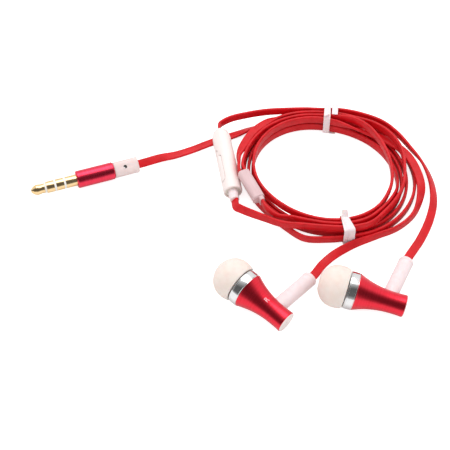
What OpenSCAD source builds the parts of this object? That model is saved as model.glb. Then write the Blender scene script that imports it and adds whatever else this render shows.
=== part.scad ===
// Wired in-ear earphones, put away for the shelf. A flat two-core cord is wound
// clockwise into an oval coil, two strands deep and four wide, and two paper
// twist ties hold it. The plug, the inline remote and both earbuds lie free.
// Millimetres. +Z is up and the floor is z = 0. The origin lies on the floor
// under the middle of the pair of earbuds. The coil lies behind them (+Y) and
// the plug lies to the left (-X).

/* [Cord] */
// Width of the flat cord
cord_w = 2.6; // [2.4:0.05:2.7]
// Thickness of the flat cord
cord_t = 0.85; // [0.7:0.05:0.95]
// Free gap between neighbouring strands of the coil
strand_gap = 0.45; // [0.45:0.01:0.55]
// Mean radius of the innermost strand of the coil
coil_r = 20.6; // [20.2:0.1:21]
// How much the coil is drawn out along its long diagonal, and in across it
coil_oval = 1.2; // [0.9:0.1:1.4]

/* [Earbud horn] */
// Diameter of the horn at its back rim
horn_back_d = 6.35; // [6.2:0.05:6.5]
// Diameter of the horn at its waist
horn_waist_d = 6.1; // [5.9:0.05:6.2]
// Diameter of the horn at its front rim
horn_front_d = 10.6; // [10.3:0.1:10.9]
// Length of the horn from back rim to front rim
horn_len = 14; // [13.5:0.1:14.5]
// Wall of the horn
horn_wall = 1; // [0.9:0.05:1.1]
// Diameter of the driver's frame
driver_d = 7; // [6.8:0.1:7.2]
// Width of the bright ring in front of the horn
bezel_len = 2.5; // [2.3:0.1:2.8]

/* [Ear tip] */
// Largest diameter of the soft ear tip
tip_d = 12; // [11.4:0.1:12.4]
// Length of the ear tip along its axis
tip_len = 8; // [7.7:0.1:8.3]
// Wall of the ear tip's dome
tip_wall = 0.7; // [0.5:0.05:0.9]
// Diameter of the sound tube that the ear tip is pushed on
nozzle_d = 4.6; // [4.4:0.1:4.8]

/* [Strain relief boots] */
// Diameter of an earbud's boot
boot_d = 4.4; // [4.2:0.1:4.5]
// Reach of an earbud's boot from the horn's axis
boot_reach = 16.7; // [15.5:0.1:17.2]

/* [Plug] */
// Diameter of the four-pole plug pin
pin_d = 3.5; // [3.4:0.1:3.6]
// Length of the plug pin
pin_len = 14; // [13.6:0.1:14.4]
// Diameter of the plug's barrel
barrel_d = 5.3; // [5.1:0.1:5.5]
// Length of the plug's barrel
barrel_len = 11.6; // [11:0.1:12.5]
// Length of the block behind the plug's barrel
plug_boot_len = 7.6; // [7.2:0.1:8.4]

/* [Remote and splitter] */
// Diameter of the inline remote
remote_d = 5.7; // [5.6:0.05:5.8]
// Length of the remote from its open end to its nose
remote_len = 24.5; // [24:0.1:24.8]
// How far the remote's button can be pressed
button_travel = 0.3; // [0.2:0.05:0.3]
// Width of the splitter across the two branches
splitter_w = 3.6; // [3.5:0.05:3.8]
// Thickness of the splitter
splitter_t = 3.4; // [3.3:0.05:3.5]
// Length of the splitter
splitter_len = 12.6; // [12:0.1:13]

/* [Twist ties] */
// Width of a tie's strap
tie_w = 2; // [1.6:0.1:2.4]
// Thickness of a tie's strap
tie_t = 0.4; // [0.3:0.02:0.42]

/* [Hidden] */

// Colours
RED = [0.78, 0.06, 0.1];
HORN_RED = [0.75, 0.05, 0.13];
OFF_WHITE = [0.96, 0.9, 0.9];
CREAM = [0.96, 0.9, 0.86];
CHROME = [0.85, 0.85, 0.87];
GOLD = [0.86, 0.68, 0.3];
WHITE = [0.95, 0.95, 0.95];
DARK = [0.12, 0.12, 0.13];
COPPER = [0.75, 0.45, 0.25];
BOARD = [0.1, 0.35, 0.18];
STEEL = [0.6, 0.6, 0.62];

// Fits and small clearances
FIT = 0.05;          // radial play of a spigot in its bore
SLOT_GAP = 0.12;     // play of the cord in the slot of a boot
SLOT_DEPTH = 1;      // how far the cord goes into a boot
LIFT = 0.05;         // daylight under a piece that lies on the floor
UNDER = 0.5;         // height of the coil's underside, over the ties' straps
ROUND = 96;          // facets of a large round
SMALL = 48;          // facets of a small round

// ---------------------------------------------------------------- earbuds
// Each bud: x and y of the back rim's centre, heading of its axis, how far
// its boot leans towards the back rim, and its roll about its axis.
RIGHT_BUD = [-8.5, -9.9, 138.6, 1, 5];
LEFT_BUD = [24.3, -4.5, 165.8, 11, 3.5];

back_r = horn_back_d / 2;
front_r = horn_front_d / 2;
driver_r = driver_d / 2;
tip_r = tip_d / 2;
nozzle_r = nozzle_d / 2;
boot_r = boot_d / 2;
waist_r = horn_waist_d / 2;
waist_z = 3;                           // from the back rim to the horn's waist
bezel_r = front_r + 0.05;
bezel_chamfer = 0.12;
rear_t = 1.2;                          // floor behind the horn's cavity
cap_hole_r = 1.8;
cap_t = 0.25;
seat_z = horn_len - 2.1;               // driver's seat inside the horn
boot_z = 5;                            // where the boot's axis meets the horn's
neck_r = 1.55;
driver_h = 2.9;
ledge_h = 2.1;                         // diaphragm's ledge above the seat
yoke_r = driver_r - 0.8;
gap_in = 0.5 * driver_r + 0.05;        // magnet radius
plate_z = seat_z + driver_h;
plate_t = 1.1;
bezel_z = horn_len + bezel_len;
bead_r = nozzle_r + 0.15;
nozzle_len = 6.1;
nozzle_z = plate_z + plate_t + nozzle_len;
sound_r = nozzle_r - 0.7;
tip_z = bezel_z + 0.3;
tip_wide_z = tip_z + 0.29 * tip_len;
tip_bore = bead_r + FIT;
tip_nose = 0.71 * tip_len;
// A bud rests on its back rim and on its ring or its ear tip.
tip_slack = 0.09;                      // how much the tip's skirt hangs under its widest place
bud_pitch = atan(max((bezel_r - back_r) / horn_len, (tip_r + tip_slack - back_r) / tip_wide_z));
bud_h = back_r * cos(bud_pitch) + LIFT / 2;

function rot_y(p, a) = [p[0] * cos(a) + p[2] * sin(a), p[1], p[2] * cos(a) - p[0] * sin(a)];
function rot_z(p, a) = [p[0] * cos(a) - p[1] * sin(a), p[0] * sin(a) + p[1] * cos(a), p[2]];
function bud_dir(b, v) = rot_z(rot_y(rot_z(v, b[4]), 90 - bud_pitch), b[2]);
function bud_point(b, p) = [b[0], b[1], bud_h] + bud_dir(b, p);
function boot_axis(b) = [0, -cos(b[3]), -sin(b[3])];
function boot_point(b, s) = bud_point(b, [0, 0, boot_z] + s * boot_axis(b));

// The horn flares widely towards the ear tip and a little towards its back rim.
function horn_r(z) = waist_r + (z > waist_z
    ? (front_r - waist_r) * pow((z - waist_z) / (horn_len - waist_z), 2.2)
    : (back_r - waist_r) * pow(1 - z / waist_z, 2));
function tip_profile(z) = z > tip_wide_z
    ? tip_r * sqrt(1 - pow(min(1, (z - tip_wide_z) / tip_nose), 2.2))
    : tip_r - 0.4 * pow((tip_wide_z - z) / (tip_wide_z - tip_z), 2);

module at_bud(b) {
    translate([b[0], b[1], bud_h])
        rotate([0, 0, b[2]])
            rotate([0, 90 - bud_pitch, 0])
                rotate([0, 0, b[4]])
                    children();
}

// Along the boot, from the horn's axis outwards
module at_boot(b) {
    translate([0, 0, boot_z]) rotate([90 + b[3], 0, 0]) children();
}

module ring(r_out, r_in, z0, z1, fn = ROUND) {
    rotate_extrude($fn = fn)
        polygon([[r_in, z0], [r_out, z0], [r_out, z1], [r_in, z1]]);
}

// Round bar between two points
module bar(a, b, r) {
    d = b - a;
    len = norm(d);
    translate(a)
        rotate([0, acos(d[2] / len), atan2(d[1], d[0])])
            cylinder(r = r, h = len, $fn = 24);
}

module horn_outside(grow) {
    steps = 14;
    rotate_extrude($fn = ROUND)
        polygon(concat(
            [[0, -0.01]],
            [for (i = [0:steps]) [horn_r(horn_len * i / steps) + grow, horn_len * i / steps]],
            [[0, horn_len]]));
}

// Horn-shaped metal housing, with the driver's seat in front
module housing(b) {
    steps = 14;
    inner = [for (i = [steps:-1:0]) let (z = rear_t + (seat_z - rear_t) * i / steps)
        [horn_r(z) - horn_wall, z]];
    color(HORN_RED) difference() {
        rotate_extrude($fn = ROUND)
            polygon(concat(
                [[cap_hole_r, 0], [back_r - 0.15, 0], [horn_r(0.3), 0.15]],
                [for (i = [1:steps]) [horn_r(horn_len * i / steps), horn_len * i / steps]],
                [[driver_r + FIT, horn_len], [driver_r + FIT, seat_z]],
                inner,
                [[cap_hole_r, rear_t]]));
        at_boot(b) cylinder(r = neck_r + FIT, h = horn_front_d, $fn = SMALL);
    }
}

module rear_cap() {
    r = back_r - 0.2;
    round_r = 0.15;
    color(OFF_WHITE) rotate_extrude($fn = ROUND)
        polygon([[0, -cap_t], [r - round_r, -cap_t], [r - round_r * 0.3, -cap_t + round_r * 0.3],
            [r, -cap_t + round_r], [r, 0], [cap_hole_r - FIT, 0],
            [cap_hole_r - FIT, rear_t], [0, rear_t]]);
}

// Soft boot: a neck through the horn's wall and a round sleeve outside it
module boot(b) {
    end_round = 0.35;
    color(OFF_WHITE) difference() {
        union() {
            difference() {
                at_boot(b) rotate_extrude($fn = SMALL)
                    polygon([[0, 2], [boot_r, 2], [boot_r, boot_reach - end_round],
                        [boot_r - end_round, boot_reach], [0, boot_reach]]);
                horn_outside(0.03);
            }
            at_boot(b) translate([0, 0, 2.1]) cylinder(r = neck_r, h = 2.4, $fn = SMALL);
        }
        at_boot(b) translate([0, 0, boot_reach - SLOT_DEPTH + 1])
            cube([cord_t + 2 * SLOT_GAP, cord_w + 2 * SLOT_GAP, 2], center = true);
    }
}

module cable_stop(b) {
    color(STEEL) at_boot(b) translate([0, 0, 1]) cylinder(r = 1.2, h = 1, $fn = 32);
}

// Two wires from the cable stop to the driver's terminals
module inner_wires(b) {
    wire_r = 0.2;
    lane = -0.6;
    color(COPPER) for (x = [-0.5, 0.5]) {
        start = [x, 0, boot_z] + boot_axis(b);
        bend = [x, 0, boot_z] + 0.6 * boot_axis(b);
        bar(start, bend, wire_r);
        translate(bend) sphere(r = wire_r + 0.06, $fn = 24);
        bar(bend, [x, lane, seat_z - 0.4], wire_r);
    }
}

module terminal_board() {
    color(BOARD) difference() {
        translate([0, 0, seat_z - 0.4]) cylinder(r = yoke_r - 0.3, h = 0.4, $fn = SMALL);
        for (x = [-1.7, 1.7])
            translate([x, 0, seat_z - 1]) cylinder(r = 0.3, h = 2, $fn = 24);
    }
}

module driver_frame() {
    color(WHITE) rotate_extrude($fn = ROUND)
        polygon([[yoke_r + FIT, seat_z], [driver_r, seat_z], [driver_r, plate_z],
            [driver_r - 0.25, plate_z], [driver_r - 0.25, seat_z + ledge_h],
            [yoke_r + FIT, seat_z + ledge_h]]);
}

module yoke() {
    color(STEEL) rotate_extrude($fn = ROUND)
        polygon([[0, seat_z], [yoke_r, seat_z], [yoke_r, seat_z + 1.7],
            [yoke_r - 0.4, seat_z + 1.7], [yoke_r - 0.4, seat_z + 0.4], [0, seat_z + 0.4]]);
}

module magnet() {
    color(CHROME) translate([0, 0, seat_z + 0.4]) cylinder(r = gap_in, h = 1, $fn = SMALL);
}

module voice_coil() {
    color(COPPER) ring(gap_in + 0.35, gap_in + 0.15, seat_z + 1, seat_z + ledge_h);
}

// Thin dome with a rolled surround
module diaphragm() {
    dome_r = gap_in + 0.25;
    rim_r = driver_r - 0.6;
    edge_r = driver_r - 0.3;
    z0 = seat_z + ledge_h;
    film = 0.1;
    steps = 8;
    top = concat(
        [for (i = [0:steps]) let (r = dome_r * i / steps)
            [r, z0 + film + 0.4 * (1 - r * r / (dome_r * dome_r))]],
        [for (i = [1:steps]) let (r = dome_r + (rim_r - dome_r) * i / steps)
            [r, z0 + film + 0.2 * sin(180 * i / steps)]],
        [[edge_r, z0 + film], [edge_r, z0], [rim_r, z0]]);
    under = concat(
        [for (i = [steps - 1:-1:1]) let (r = dome_r + (rim_r - dome_r) * i / steps)
            [r, z0 + 0.2 * sin(180 * i / steps)]],
        [for (i = [steps:-1:0]) let (r = dome_r * i / steps)
            [r, z0 + 0.4 * (1 - r * r / (dome_r * dome_r))]]);
    color(CREAM) rotate_extrude($fn = ROUND) polygon(concat(top, under));
}

// Sound tube on a plate, with a bead that the ear tip snaps over
module nozzle() {
    r_plate = front_r - 0.85;
    z0 = plate_z + plate_t;
    color(WHITE) rotate_extrude($fn = ROUND)
        polygon([[sound_r, plate_z], [r_plate, plate_z], [r_plate, z0], [nozzle_r, z0],
            [nozzle_r, nozzle_z - 1.8], [bead_r, nozzle_z - 1.4], [bead_r, nozzle_z - 0.8],
            [nozzle_r - 0.1, nozzle_z], [sound_r + 0.25, nozzle_z],
            [sound_r + 0.25, nozzle_z - 0.5], [sound_r, nozzle_z - 0.5]]);
}

module acoustic_mesh() {
    holes = 8;
    color(DARK) difference() {
        translate([0, 0, nozzle_z - 0.5]) cylinder(r = sound_r + 0.2, h = 0.3, $fn = SMALL);
        for (i = [0:holes - 1])
            rotate([0, 0, 360 * i / holes])
                translate([1, 0, nozzle_z - 1]) cylinder(r = 0.2, h = 2, $fn = 16);
    }
}

module bezel() {
    r_bore = front_r - 0.8;
    r_lip = r_bore - 0.6;
    c = bezel_chamfer;
    z1 = plate_z + plate_t;
    color(CHROME) rotate_extrude($fn = ROUND)
        polygon([[r_bore, horn_len], [bezel_r - c, horn_len], [bezel_r, horn_len + c],
            [bezel_r, bezel_z - 2 * c], [bezel_r - 2 * c, bezel_z], [r_lip, bezel_z],
            [r_lip, z1], [r_bore, z1]]);
}

// Hollow umbrella of soft rubber on a core tube
module ear_tip() {
    core_r = tip_bore + 0.8;
    mouth_r = tip_bore - 0.5;
    nose_z = tip_wide_z + tip_nose * 0.91;
    root_z = nose_z - 2;
    n = 20;
    outside = [for (i = [0:n]) let (z = tip_z + (nose_z - tip_z) * i / n) [tip_profile(z), z]];
    lip = [[tip_profile(nose_z) - 0.2, nose_z + 0.22], [tip_profile(nose_z) - 0.42, nose_z + 0.25],
        [mouth_r, nose_z], [mouth_r, nozzle_z + 0.4], [tip_bore, nozzle_z + 0.4],
        [tip_bore, tip_z], [core_r, tip_z], [core_r, root_z]];
    inside = [for (i = [n:-1:0]) let (z = tip_z + (root_z - tip_z) * i / n)
        [tip_profile(z + tip_wall * 0.9) - tip_wall, z]];
    color(CREAM) rotate_extrude($fn = ROUND) polygon(concat(outside, lip, inside));
}

// ---------------------------------------------------------------- plug
plug_heading = 19.3;
plug_roll = 35;                        // leans the eyelet towards the earbuds
plug_axis = [cos(plug_heading), sin(plug_heading), 0];
plug_len = pin_len + barrel_len + plug_boot_len;
plug_end = [-51.65, 49.2, barrel_d / 2 + LIFT];
plug_start = plug_end - plug_len * plug_axis;
pin_r = pin_d / 2;
barrel_r = barrel_d / 2;
core_r = 0.8;
pin_neck_r = pin_r - 0.25;             // the sleeve where it enters the barrel
pin_relief = 0.15;                     // from the sleeve's full width to the barrel
insulator_t = 0.55;
pole_t = 2.4;                          // length of a ring contact
tip_pole_t = 4.1;
// Joints between the pin's poles, counted from the tip
pole_z = [for (i = [0:2]) tip_pole_t + i * (insulator_t + pole_t)];

// Along the plug, from its tip towards the cord
module at_plug() {
    translate(plug_start) rotate([0, 0, plug_heading]) rotate([0, 90, 0])
        rotate([0, 0, plug_roll]) children();
}

module plug_tip() {
    color(GOLD) rotate_extrude($fn = ROUND)
        polygon([[0, 0], [0.45, 0], [0.75, 0.15], [1.25, 0.8], [pin_r - 0.23, 1.5],
            [pin_r - 0.15, 2.1], [pin_r - 0.2, 2.7], [1.42, 3.3], [1.48, tip_pole_t],
            [core_r, tip_pole_t], [core_r, 2.2], [0, 2.2]]);
}

module plug_ring(i) {
    z0 = pole_z[i] + insulator_t;
    color(GOLD) ring(pin_r, core_r, z0, z0 + pole_t);
}

module plug_insulators() {
    color(WHITE) for (i = [0:2])
        ring(i == 0 ? pin_r - 0.25 : pin_r - 0.02, core_r, pole_z[i], pole_z[i] + insulator_t);
}

module plug_sleeve() {
    z0 = pole_z[2] + insulator_t;
    collar_r = barrel_r - 0.45;
    land_end = pin_len - pin_relief;
    color(GOLD) rotate_extrude($fn = ROUND)
        polygon([[core_r, z0], [pin_r, z0], [pin_r, land_end], [pin_neck_r, land_end],
            [pin_neck_r, pin_len + 1], [collar_r, pin_len + 1],
            [collar_r, pin_len + 3], [core_r, pin_len + 3]]);
}

module plug_core() {
    color(WHITE) translate([0, 0, 2.2]) cylinder(r = core_r, h = pin_len + 3, $fn = SMALL);
}

module plug_barrel() {
    c = 0.3;
    z1 = pin_len + barrel_len;
    bore = barrel_r - 0.4;
    color(RED) rotate_extrude($fn = ROUND)
        polygon([[pin_neck_r + FIT, pin_len], [barrel_r - c, pin_len], [barrel_r, pin_len + c],
            [barrel_r, z1 - c], [barrel_r - c, z1], [bore, z1],
            [bore, pin_len + 1], [pin_neck_r + FIT, pin_len + 1]]);
}

// Flat block with rounded sides, a spigot into the barrel and an eyelet
module plug_boot() {
    z0 = pin_len + barrel_len;
    high = 4;
    wide = 4.8;
    side_r = high / 2;
    color(OFF_WHITE) difference() {
        union() {
            hull() for (y = [-1, 1], k = [0, 1])
                translate([0, y * (wide / 2 - side_r), z0 + k * 0.4])
                    cylinder(r = side_r - 0.3 * (1 - k), h = plug_boot_len - 0.8 * k, $fn = 32);
            translate([0, 0, z0 - 2]) cylinder(r = barrel_r - 0.45, h = 2.5, $fn = SMALL);
        }
        translate([0, 0, z0 + plug_boot_len * 0.45]) rotate([0, 90, 0])
            cylinder(d = 1, h = 2 * high, center = true, $fn = 24);
        translate([0, 0, z0 + plug_boot_len - SLOT_DEPTH + 1])
            cube([cord_t + 2 * SLOT_GAP, cord_w + 2 * SLOT_GAP, 2], center = true);
    }
}

// ---------------------------------------------------------------- remote
remote_heading = 99.2;
remote_tilt = 2;                       // its nose rests on the plug's cord
remote_axis = rot_z(rot_y([0, 0, 1], 90 - remote_tilt), remote_heading);
remote_r = remote_d / 2;
remote_start = [-22.8, 37.7, remote_r + LIFT];
relief_len = 3;
relief_roll = 50;                      // the cord leaves the relief half on edge
relief_r = 1.5;
remote_bore = remote_r - 0.5;
nose_len = 4.5;
nose_r = 1.7;
recess = 0.8;
button_turn = 120;                     // the button faces left and up
button_z = 8.5;
button_w = 2.2;
button_len = 10;
button_gap = 0.2;
mic_z = button_z + button_len / 2 + 2;
flange_x = remote_bore - 0.9;
board_t = 0.6;
board_x = -0.2;

module at_remote() {
    translate(remote_start)
        rotate([0, 0, remote_heading]) rotate([0, 90 - remote_tilt, 0]) children();
}

// Bar with round ends, from x0 to x1, long along Z
module oval(wide, long, x0, x1) {
    straight = long - wide;
    translate([x0, -wide / 2, -straight / 2]) cube([x1 - x0, wide, straight]);
    for (s = [-1, 1])
        translate([x0, 0, s * straight / 2]) rotate([0, 90, 0])
            cylinder(d = wide, h = x1 - x0, $fn = SMALL);
}

module remote_shell() {
    z1 = remote_len - nose_len;
    steps = 8;
    nose = [for (i = [0:steps]) let (k = i / steps)
        [nose_r + (remote_r - nose_r) * sqrt(1 - k * k), z1 + nose_len * k]];
    color(OFF_WHITE) difference() {
        rotate_extrude($fn = ROUND)
            polygon(concat([[remote_bore, 0], [remote_r - 0.25, 0], [remote_r, 0.25]], nose,
                [[0, remote_len], [0, z1 + 0.5], [remote_bore, z1 + 0.5]]));
        rotate([0, 0, button_turn]) translate([0, 0, button_z])
            oval(button_w + 2 * button_gap, button_len + 2 * button_gap, 0, remote_d);
        rotate([0, 0, button_turn]) translate([0, 0, mic_z]) rotate([0, 90, 0])
            cylinder(r = 0.35, h = remote_d, $fn = 24);
        translate([0, 0, remote_len - SLOT_DEPTH + 1])
            cube([cord_w + 2 * SLOT_GAP, cord_t + 2 * SLOT_GAP, 2], center = true);
    }
}

module remote_end_ring() {
    color(WHITE) ring(remote_bore - FIT, relief_r + FIT, recess, recess + 1.4);
}

module remote_relief() {
    color(OFF_WHITE) rotate_extrude($fn = SMALL)
        polygon([[0, -relief_len], [relief_r - 0.1, -relief_len],
            [relief_r - 0.02, -relief_len + 0.1], [relief_r, 0], [relief_r, recess + 1.4],
            [relief_r + 0.5, recess + 1.4], [relief_r + 0.5, recess + 1.8], [0, recess + 1.8]]);
}

// Rounded key that follows the remote's skin, with a flange behind the wall
module remote_button() {
    color(OFF_WHITE) rotate([0, 0, button_turn]) translate([0, 0, button_z]) {
        intersection() {
            oval(button_w, button_len, flange_x, remote_r + 1);
            translate([0, 0, -button_len])
                cylinder(r = remote_r + 0.15, h = 2 * button_len, $fn = ROUND);
        }
        oval(button_w + 0.5, button_len + 1.4, flange_x, flange_x + 0.35);
    }
}

module remote_board() {
    z0 = recess + 1.8;
    color(BOARD) rotate([0, 0, button_turn]) translate([board_x, -1.7, z0])
        cube([board_t, 3.4, remote_len - nose_len - z0]);
}

module remote_switch() {
    x0 = board_x + board_t;
    color(DARK) rotate([0, 0, button_turn]) translate([x0, -1.3, button_z - 1.5])
        cube([flange_x - button_travel - 0.05 - x0, 2.6, 3]);
}

module remote_microphone() {
    color(CHROME) rotate([0, 0, button_turn]) translate([board_x + board_t, 0, mic_z])
        rotate([0, 90, 0]) cylinder(r = 1, h = 0.8, $fn = 32);
}

// ---------------------------------------------------------------- splitter
splitter_heading = 113.5;
splitter_axis = [cos(splitter_heading), sin(splitter_heading), 0];
splitter_left = [-sin(splitter_heading), cos(splitter_heading), 0];
splitter_start = [-14.7, 30.9, 6.1];
branch_gap = 0.7;                      // each branch's cord from the middle
joint_w = 2.2;
tail_port = 0.5;                       // the plug cord enters to the right
joint_h = 1.8;
joint_len = splitter_len - 5;

module at_splitter() {
    translate(splitter_start) rotate([0, 0, splitter_heading]) rotate([0, 90, 0]) children();
}

// Bar along Z with rounded edges
module rounded_bar(tall, wide, r, z0, z1) {
    translate([-tall / 2, r - wide / 2, z0]) cube([tall, wide - 2 * r, z1 - z0]);
    translate([r - tall / 2, -wide / 2, z0]) cube([tall - 2 * r, wide, z1 - z0]);
    for (x = [-1, 1], y = [-1, 1])
        translate([x * (tall / 2 - r), y * (wide / 2 - r), z0])
            cylinder(r = r, h = z1 - z0, $fn = 32);
}

module splitter_body() {
    edge_r = 1;
    step = 0.25;
    rounded_bar(splitter_t, splitter_w, edge_r, 1.5, splitter_len);
    rounded_bar(splitter_t - 2 * step, splitter_w - 2 * step, edge_r - step, 1.2, 1.5);
    translate([-1.4, -0.75 - tail_port, 0]) cube([2.8, 1.5, 1.2]);
}

// One half of the splitter's clam shell; side is -1 above and 1 below
module splitter_cover(side) {
    slot_t = cord_t + 2 * SLOT_GAP;
    slot_w = cord_w + 2 * SLOT_GAP;
    color(OFF_WHITE) intersection() {
        difference() {
            splitter_body();
            translate([-joint_h / 2 - FIT, -joint_w / 2 - FIT, 2.9])
                cube([joint_h + 2 * FIT, joint_w + 2 * FIT, joint_len + 0.2]);
            for (y = [-1, 1])
                translate([0, y * branch_gap, splitter_len - SLOT_DEPTH + 1])
                    cube([slot_w, slot_t, 2], center = true);
        }
        translate([side < 0 ? -10 : 0, -10, -1]) cube([10, 20, splitter_len + 2]);
    }
}

module splitter_joint() {
    color(DARK) translate([-joint_h / 2, -joint_w / 2, 3]) cube([joint_h, joint_w, joint_len]);
}

// ---------------------------------------------------------------- cord
// A point of a cord's route: x, y, z and the roll of the flat cord. Roll 90
// stands the cord on its edge and roll 0 lays it flat.
COIL_X = 4.3;
COIL_Y = 45.4;
LANE = cord_t + strand_gap;
LAYER = cord_w + strand_gap;
TURN = 15;                             // 24 rings to a loop
// The strands fan out on the coil's right side: extra lane width every 45 deg
FAN = [0, 0, 0, 0.75, 0.95, 0.55, 0, 0];

// Smooth curve through b and c, with a before and d after them
function curve(a, b, c, d, t) = 0.5 * (2 * b + (c - a) * t
    + (2 * a - 5 * b + 4 * c - d) * t * t + (3 * b - a - 3 * c + d) * t * t * t);
function wrap(i) = FAN[(i + 8) % 8];
function fan_at(turn, i) = max(0, curve(wrap(i - 1), wrap(i), wrap(i + 1), wrap(i + 2), turn - i));
function fan(phase) = let (s = (phase % 360) / 45) fan_at(s, floor(s));
function level(layer) = UNDER + cord_w / 2 + layer * LAYER;

// Point of the coil at a phase: 0 left, 90 far side, 180 right, 270 near side.
// Lane 0 is the innermost and layer 0 the lowest.
function wound(phase, lane, layer, roll = 90, out = 0) =
    let (r = coil_r + coil_oval * cos(2 * (phase - 45)) + lane * LANE * (1 + fan(phase)) + out)
    [COIL_X - r * cos(phase), COIL_Y + r * sin(phase), level(layer), roll];
// A steady spiral inwards, slack on the near side where one strand bulges out
function spiral(phase) =
    let (u = (phase - 90) / 360,
        lane = 3 - u + 0.44 * max(0, u - 1.25) * fan(phase),
        bulge = 2.2 * exp(-pow((phase - 284) / 17, 2)))
    wound(phase, lane, 0, 90, bulge);

function on(p, roll) = [p[0], p[1], p[2], roll];
// First points of a stretch that leaves p squarely along d; the first is
// beyond p and only sets the direction.
function leave(p, d, roll) = [on(p - cord_w * d, roll), on(p, roll), on(p + cord_w * d, roll)];
function arrive(p, d, roll) = [on(p - cord_w * d, roll), on(p, roll), on(p + cord_w * d, roll)];
// Roll that the slot of a boot gives to the cord, with t along the cord
function slot_roll(t, side) =
    let (s = cross(t, [0, 0, 1]) / norm(cross(t, [0, 0, 1])), u = cross(s, t))
    atan((side * u) / (side * s));

plug_exit = plug_end - SLOT_DEPTH * plug_axis;
splitter_tail = splitter_start - tail_port * splitter_left;
splitter_out = splitter_start + (splitter_len - SLOT_DEPTH) * splitter_axis;
remote_in = remote_start - relief_len * remote_axis;
remote_out = remote_start + (remote_len - SLOT_DEPTH) * remote_axis;
left_in = boot_point(LEFT_BUD, boot_reach - SLOT_DEPTH);
left_dir = -bud_dir(LEFT_BUD, boot_axis(LEFT_BUD));
left_roll = slot_roll(left_dir, bud_dir(LEFT_BUD, [0, sin(LEFT_BUD[3]), -cos(LEFT_BUD[3])]));
right_in = boot_point(RIGHT_BUD, boot_reach - SLOT_DEPTH);
right_dir = -bud_dir(RIGHT_BUD, boot_axis(RIGHT_BUD));
right_roll = slot_roll(right_dir, bud_dir(RIGHT_BUD, [0, sin(RIGHT_BUD[3]), -cos(RIGHT_BUD[3])]));

COIL_START = 75;
COIL_END = 1245;

// From the plug to the coil, flat on the floor and under the remote's cord
LEAD_JOIN = [-7.8, 68.5, 1.7, 85];
LEAD = concat(leave(plug_exit, plug_axis, -plug_roll), [
    [-44.8, 52.9, 1.6, -24], [-40.4, 55, 0.65, -5], [-35.2, 57.4, 0.5, 0],
    [-30.2, 60.1, 0.45, 0], [-25.7, 62.2, 0.45, 0], [-21.5, 63.8, 0.75, 10],
    [-17.2, 65.7, 1.2, 35], [-12.5, 67.3, 1.5, 60], LEAD_JOIN],
    [spiral(COIL_START), spiral(COIL_START + TURN)]);

// Three and a quarter turns in the lower layer, from lane 3 in to lane 0
COIL = concat([LEAD_JOIN], [for (a = [COIL_START:TURN:COIL_END]) spiral(a)],
    [wound(180, 0.62, 0.02)]);

// The coil's last half turn climbs on top and runs out to the splitter
TAIL = concat([spiral(COIL_END - TURN), spiral(COIL_END),
    wound(180, 0.62, 0.02), wound(195, 0.62, 0.3), wound(210, 0.52, 0.8), wound(225, 0.6, 1),
    wound(240, 0.95, 1), wound(255, 1, 1), wound(270, 1, 1), wound(285, 1.15, 1),
    wound(297, 1.8, 1), [-10.1, 26.2, 5.4, 90]],
    arrive(splitter_tail, splitter_axis, 90));

// Left branch, splitter to remote: most of a turn in lane 2 of the upper layer
LEFT_LOWER = concat(leave(splitter_out + branch_gap * splitter_left, splitter_axis, 90), [
    [-21.1, 45.5, 6, 90], [-21, 47.8, 5.6, 88], [-20.9, 50.5, 5.1, 62],
    [-20.2, 53.4, 4.9, 20], on([-18.8, 57, level(0.93)], 0), on([-16.2, 61.4, level(0.93)], 0),
    on([-12, 65.3, level(0.95)], 10), wound(60, 2.7, 0.98, 55), wound(75, 2.05, 1, 88),
    wound(90, 2, 1), wound(105, 2.05, 1), wound(120, 2, 1.1), wound(135, 2.1, 1.35),
    wound(150, 2.05, 1.52), wound(165, 1.85, 1.5), wound(180, 1.5, 1.2), wound(195, 1.3, 1),
    wound(210, 1.15, 1), wound(225, 1.25, 1), wound(240, 1.95, 1), wound(255, 2, 1),
    wound(270, 2, 1), wound(285, 2.55, 1), [-8.7, 23.8, 4.8, 90], [-14, 26.5, 4.4, 80],
    [-18.5, 29.3, 3.7, 66], [-21.1, 31.3, 3.1, 56]],
    arrive(remote_in, remote_axis, relief_roll));

// Left branch, remote to bud: over the far side in lane 3, then down outside
LEFT_UPPER = concat(leave(remote_out, remote_axis, 90), [
    [-26.8, 65.2, 3.5, 90], [-23.8, 66.9, 4.2, 90], [-18, 68.4, 4.7, 90],
    on([-12, 69.5, level(1)], 90), wound(70, 3.7, 1), wound(80, 3.15, 1),
    wound(90, 3, 1), wound(105, 3.3, 1), wound(120, 3.3, 1), wound(135, 3.5, 0.95),
    [28, 60.6, 4.1, 85], [31.9, 55.1, 3.1, 76], [34.8, 50.5, 2.3, 62], [36.8, 43.6, 1.65, 48],
    [36.9, 36, 1.3, 36], [35, 28.7, 1.05, 25], [31.8, 21.7, 0.8, 10], [29.2, 17, 1.6, 4]],
    arrive(left_in, left_dir, left_roll));

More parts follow.
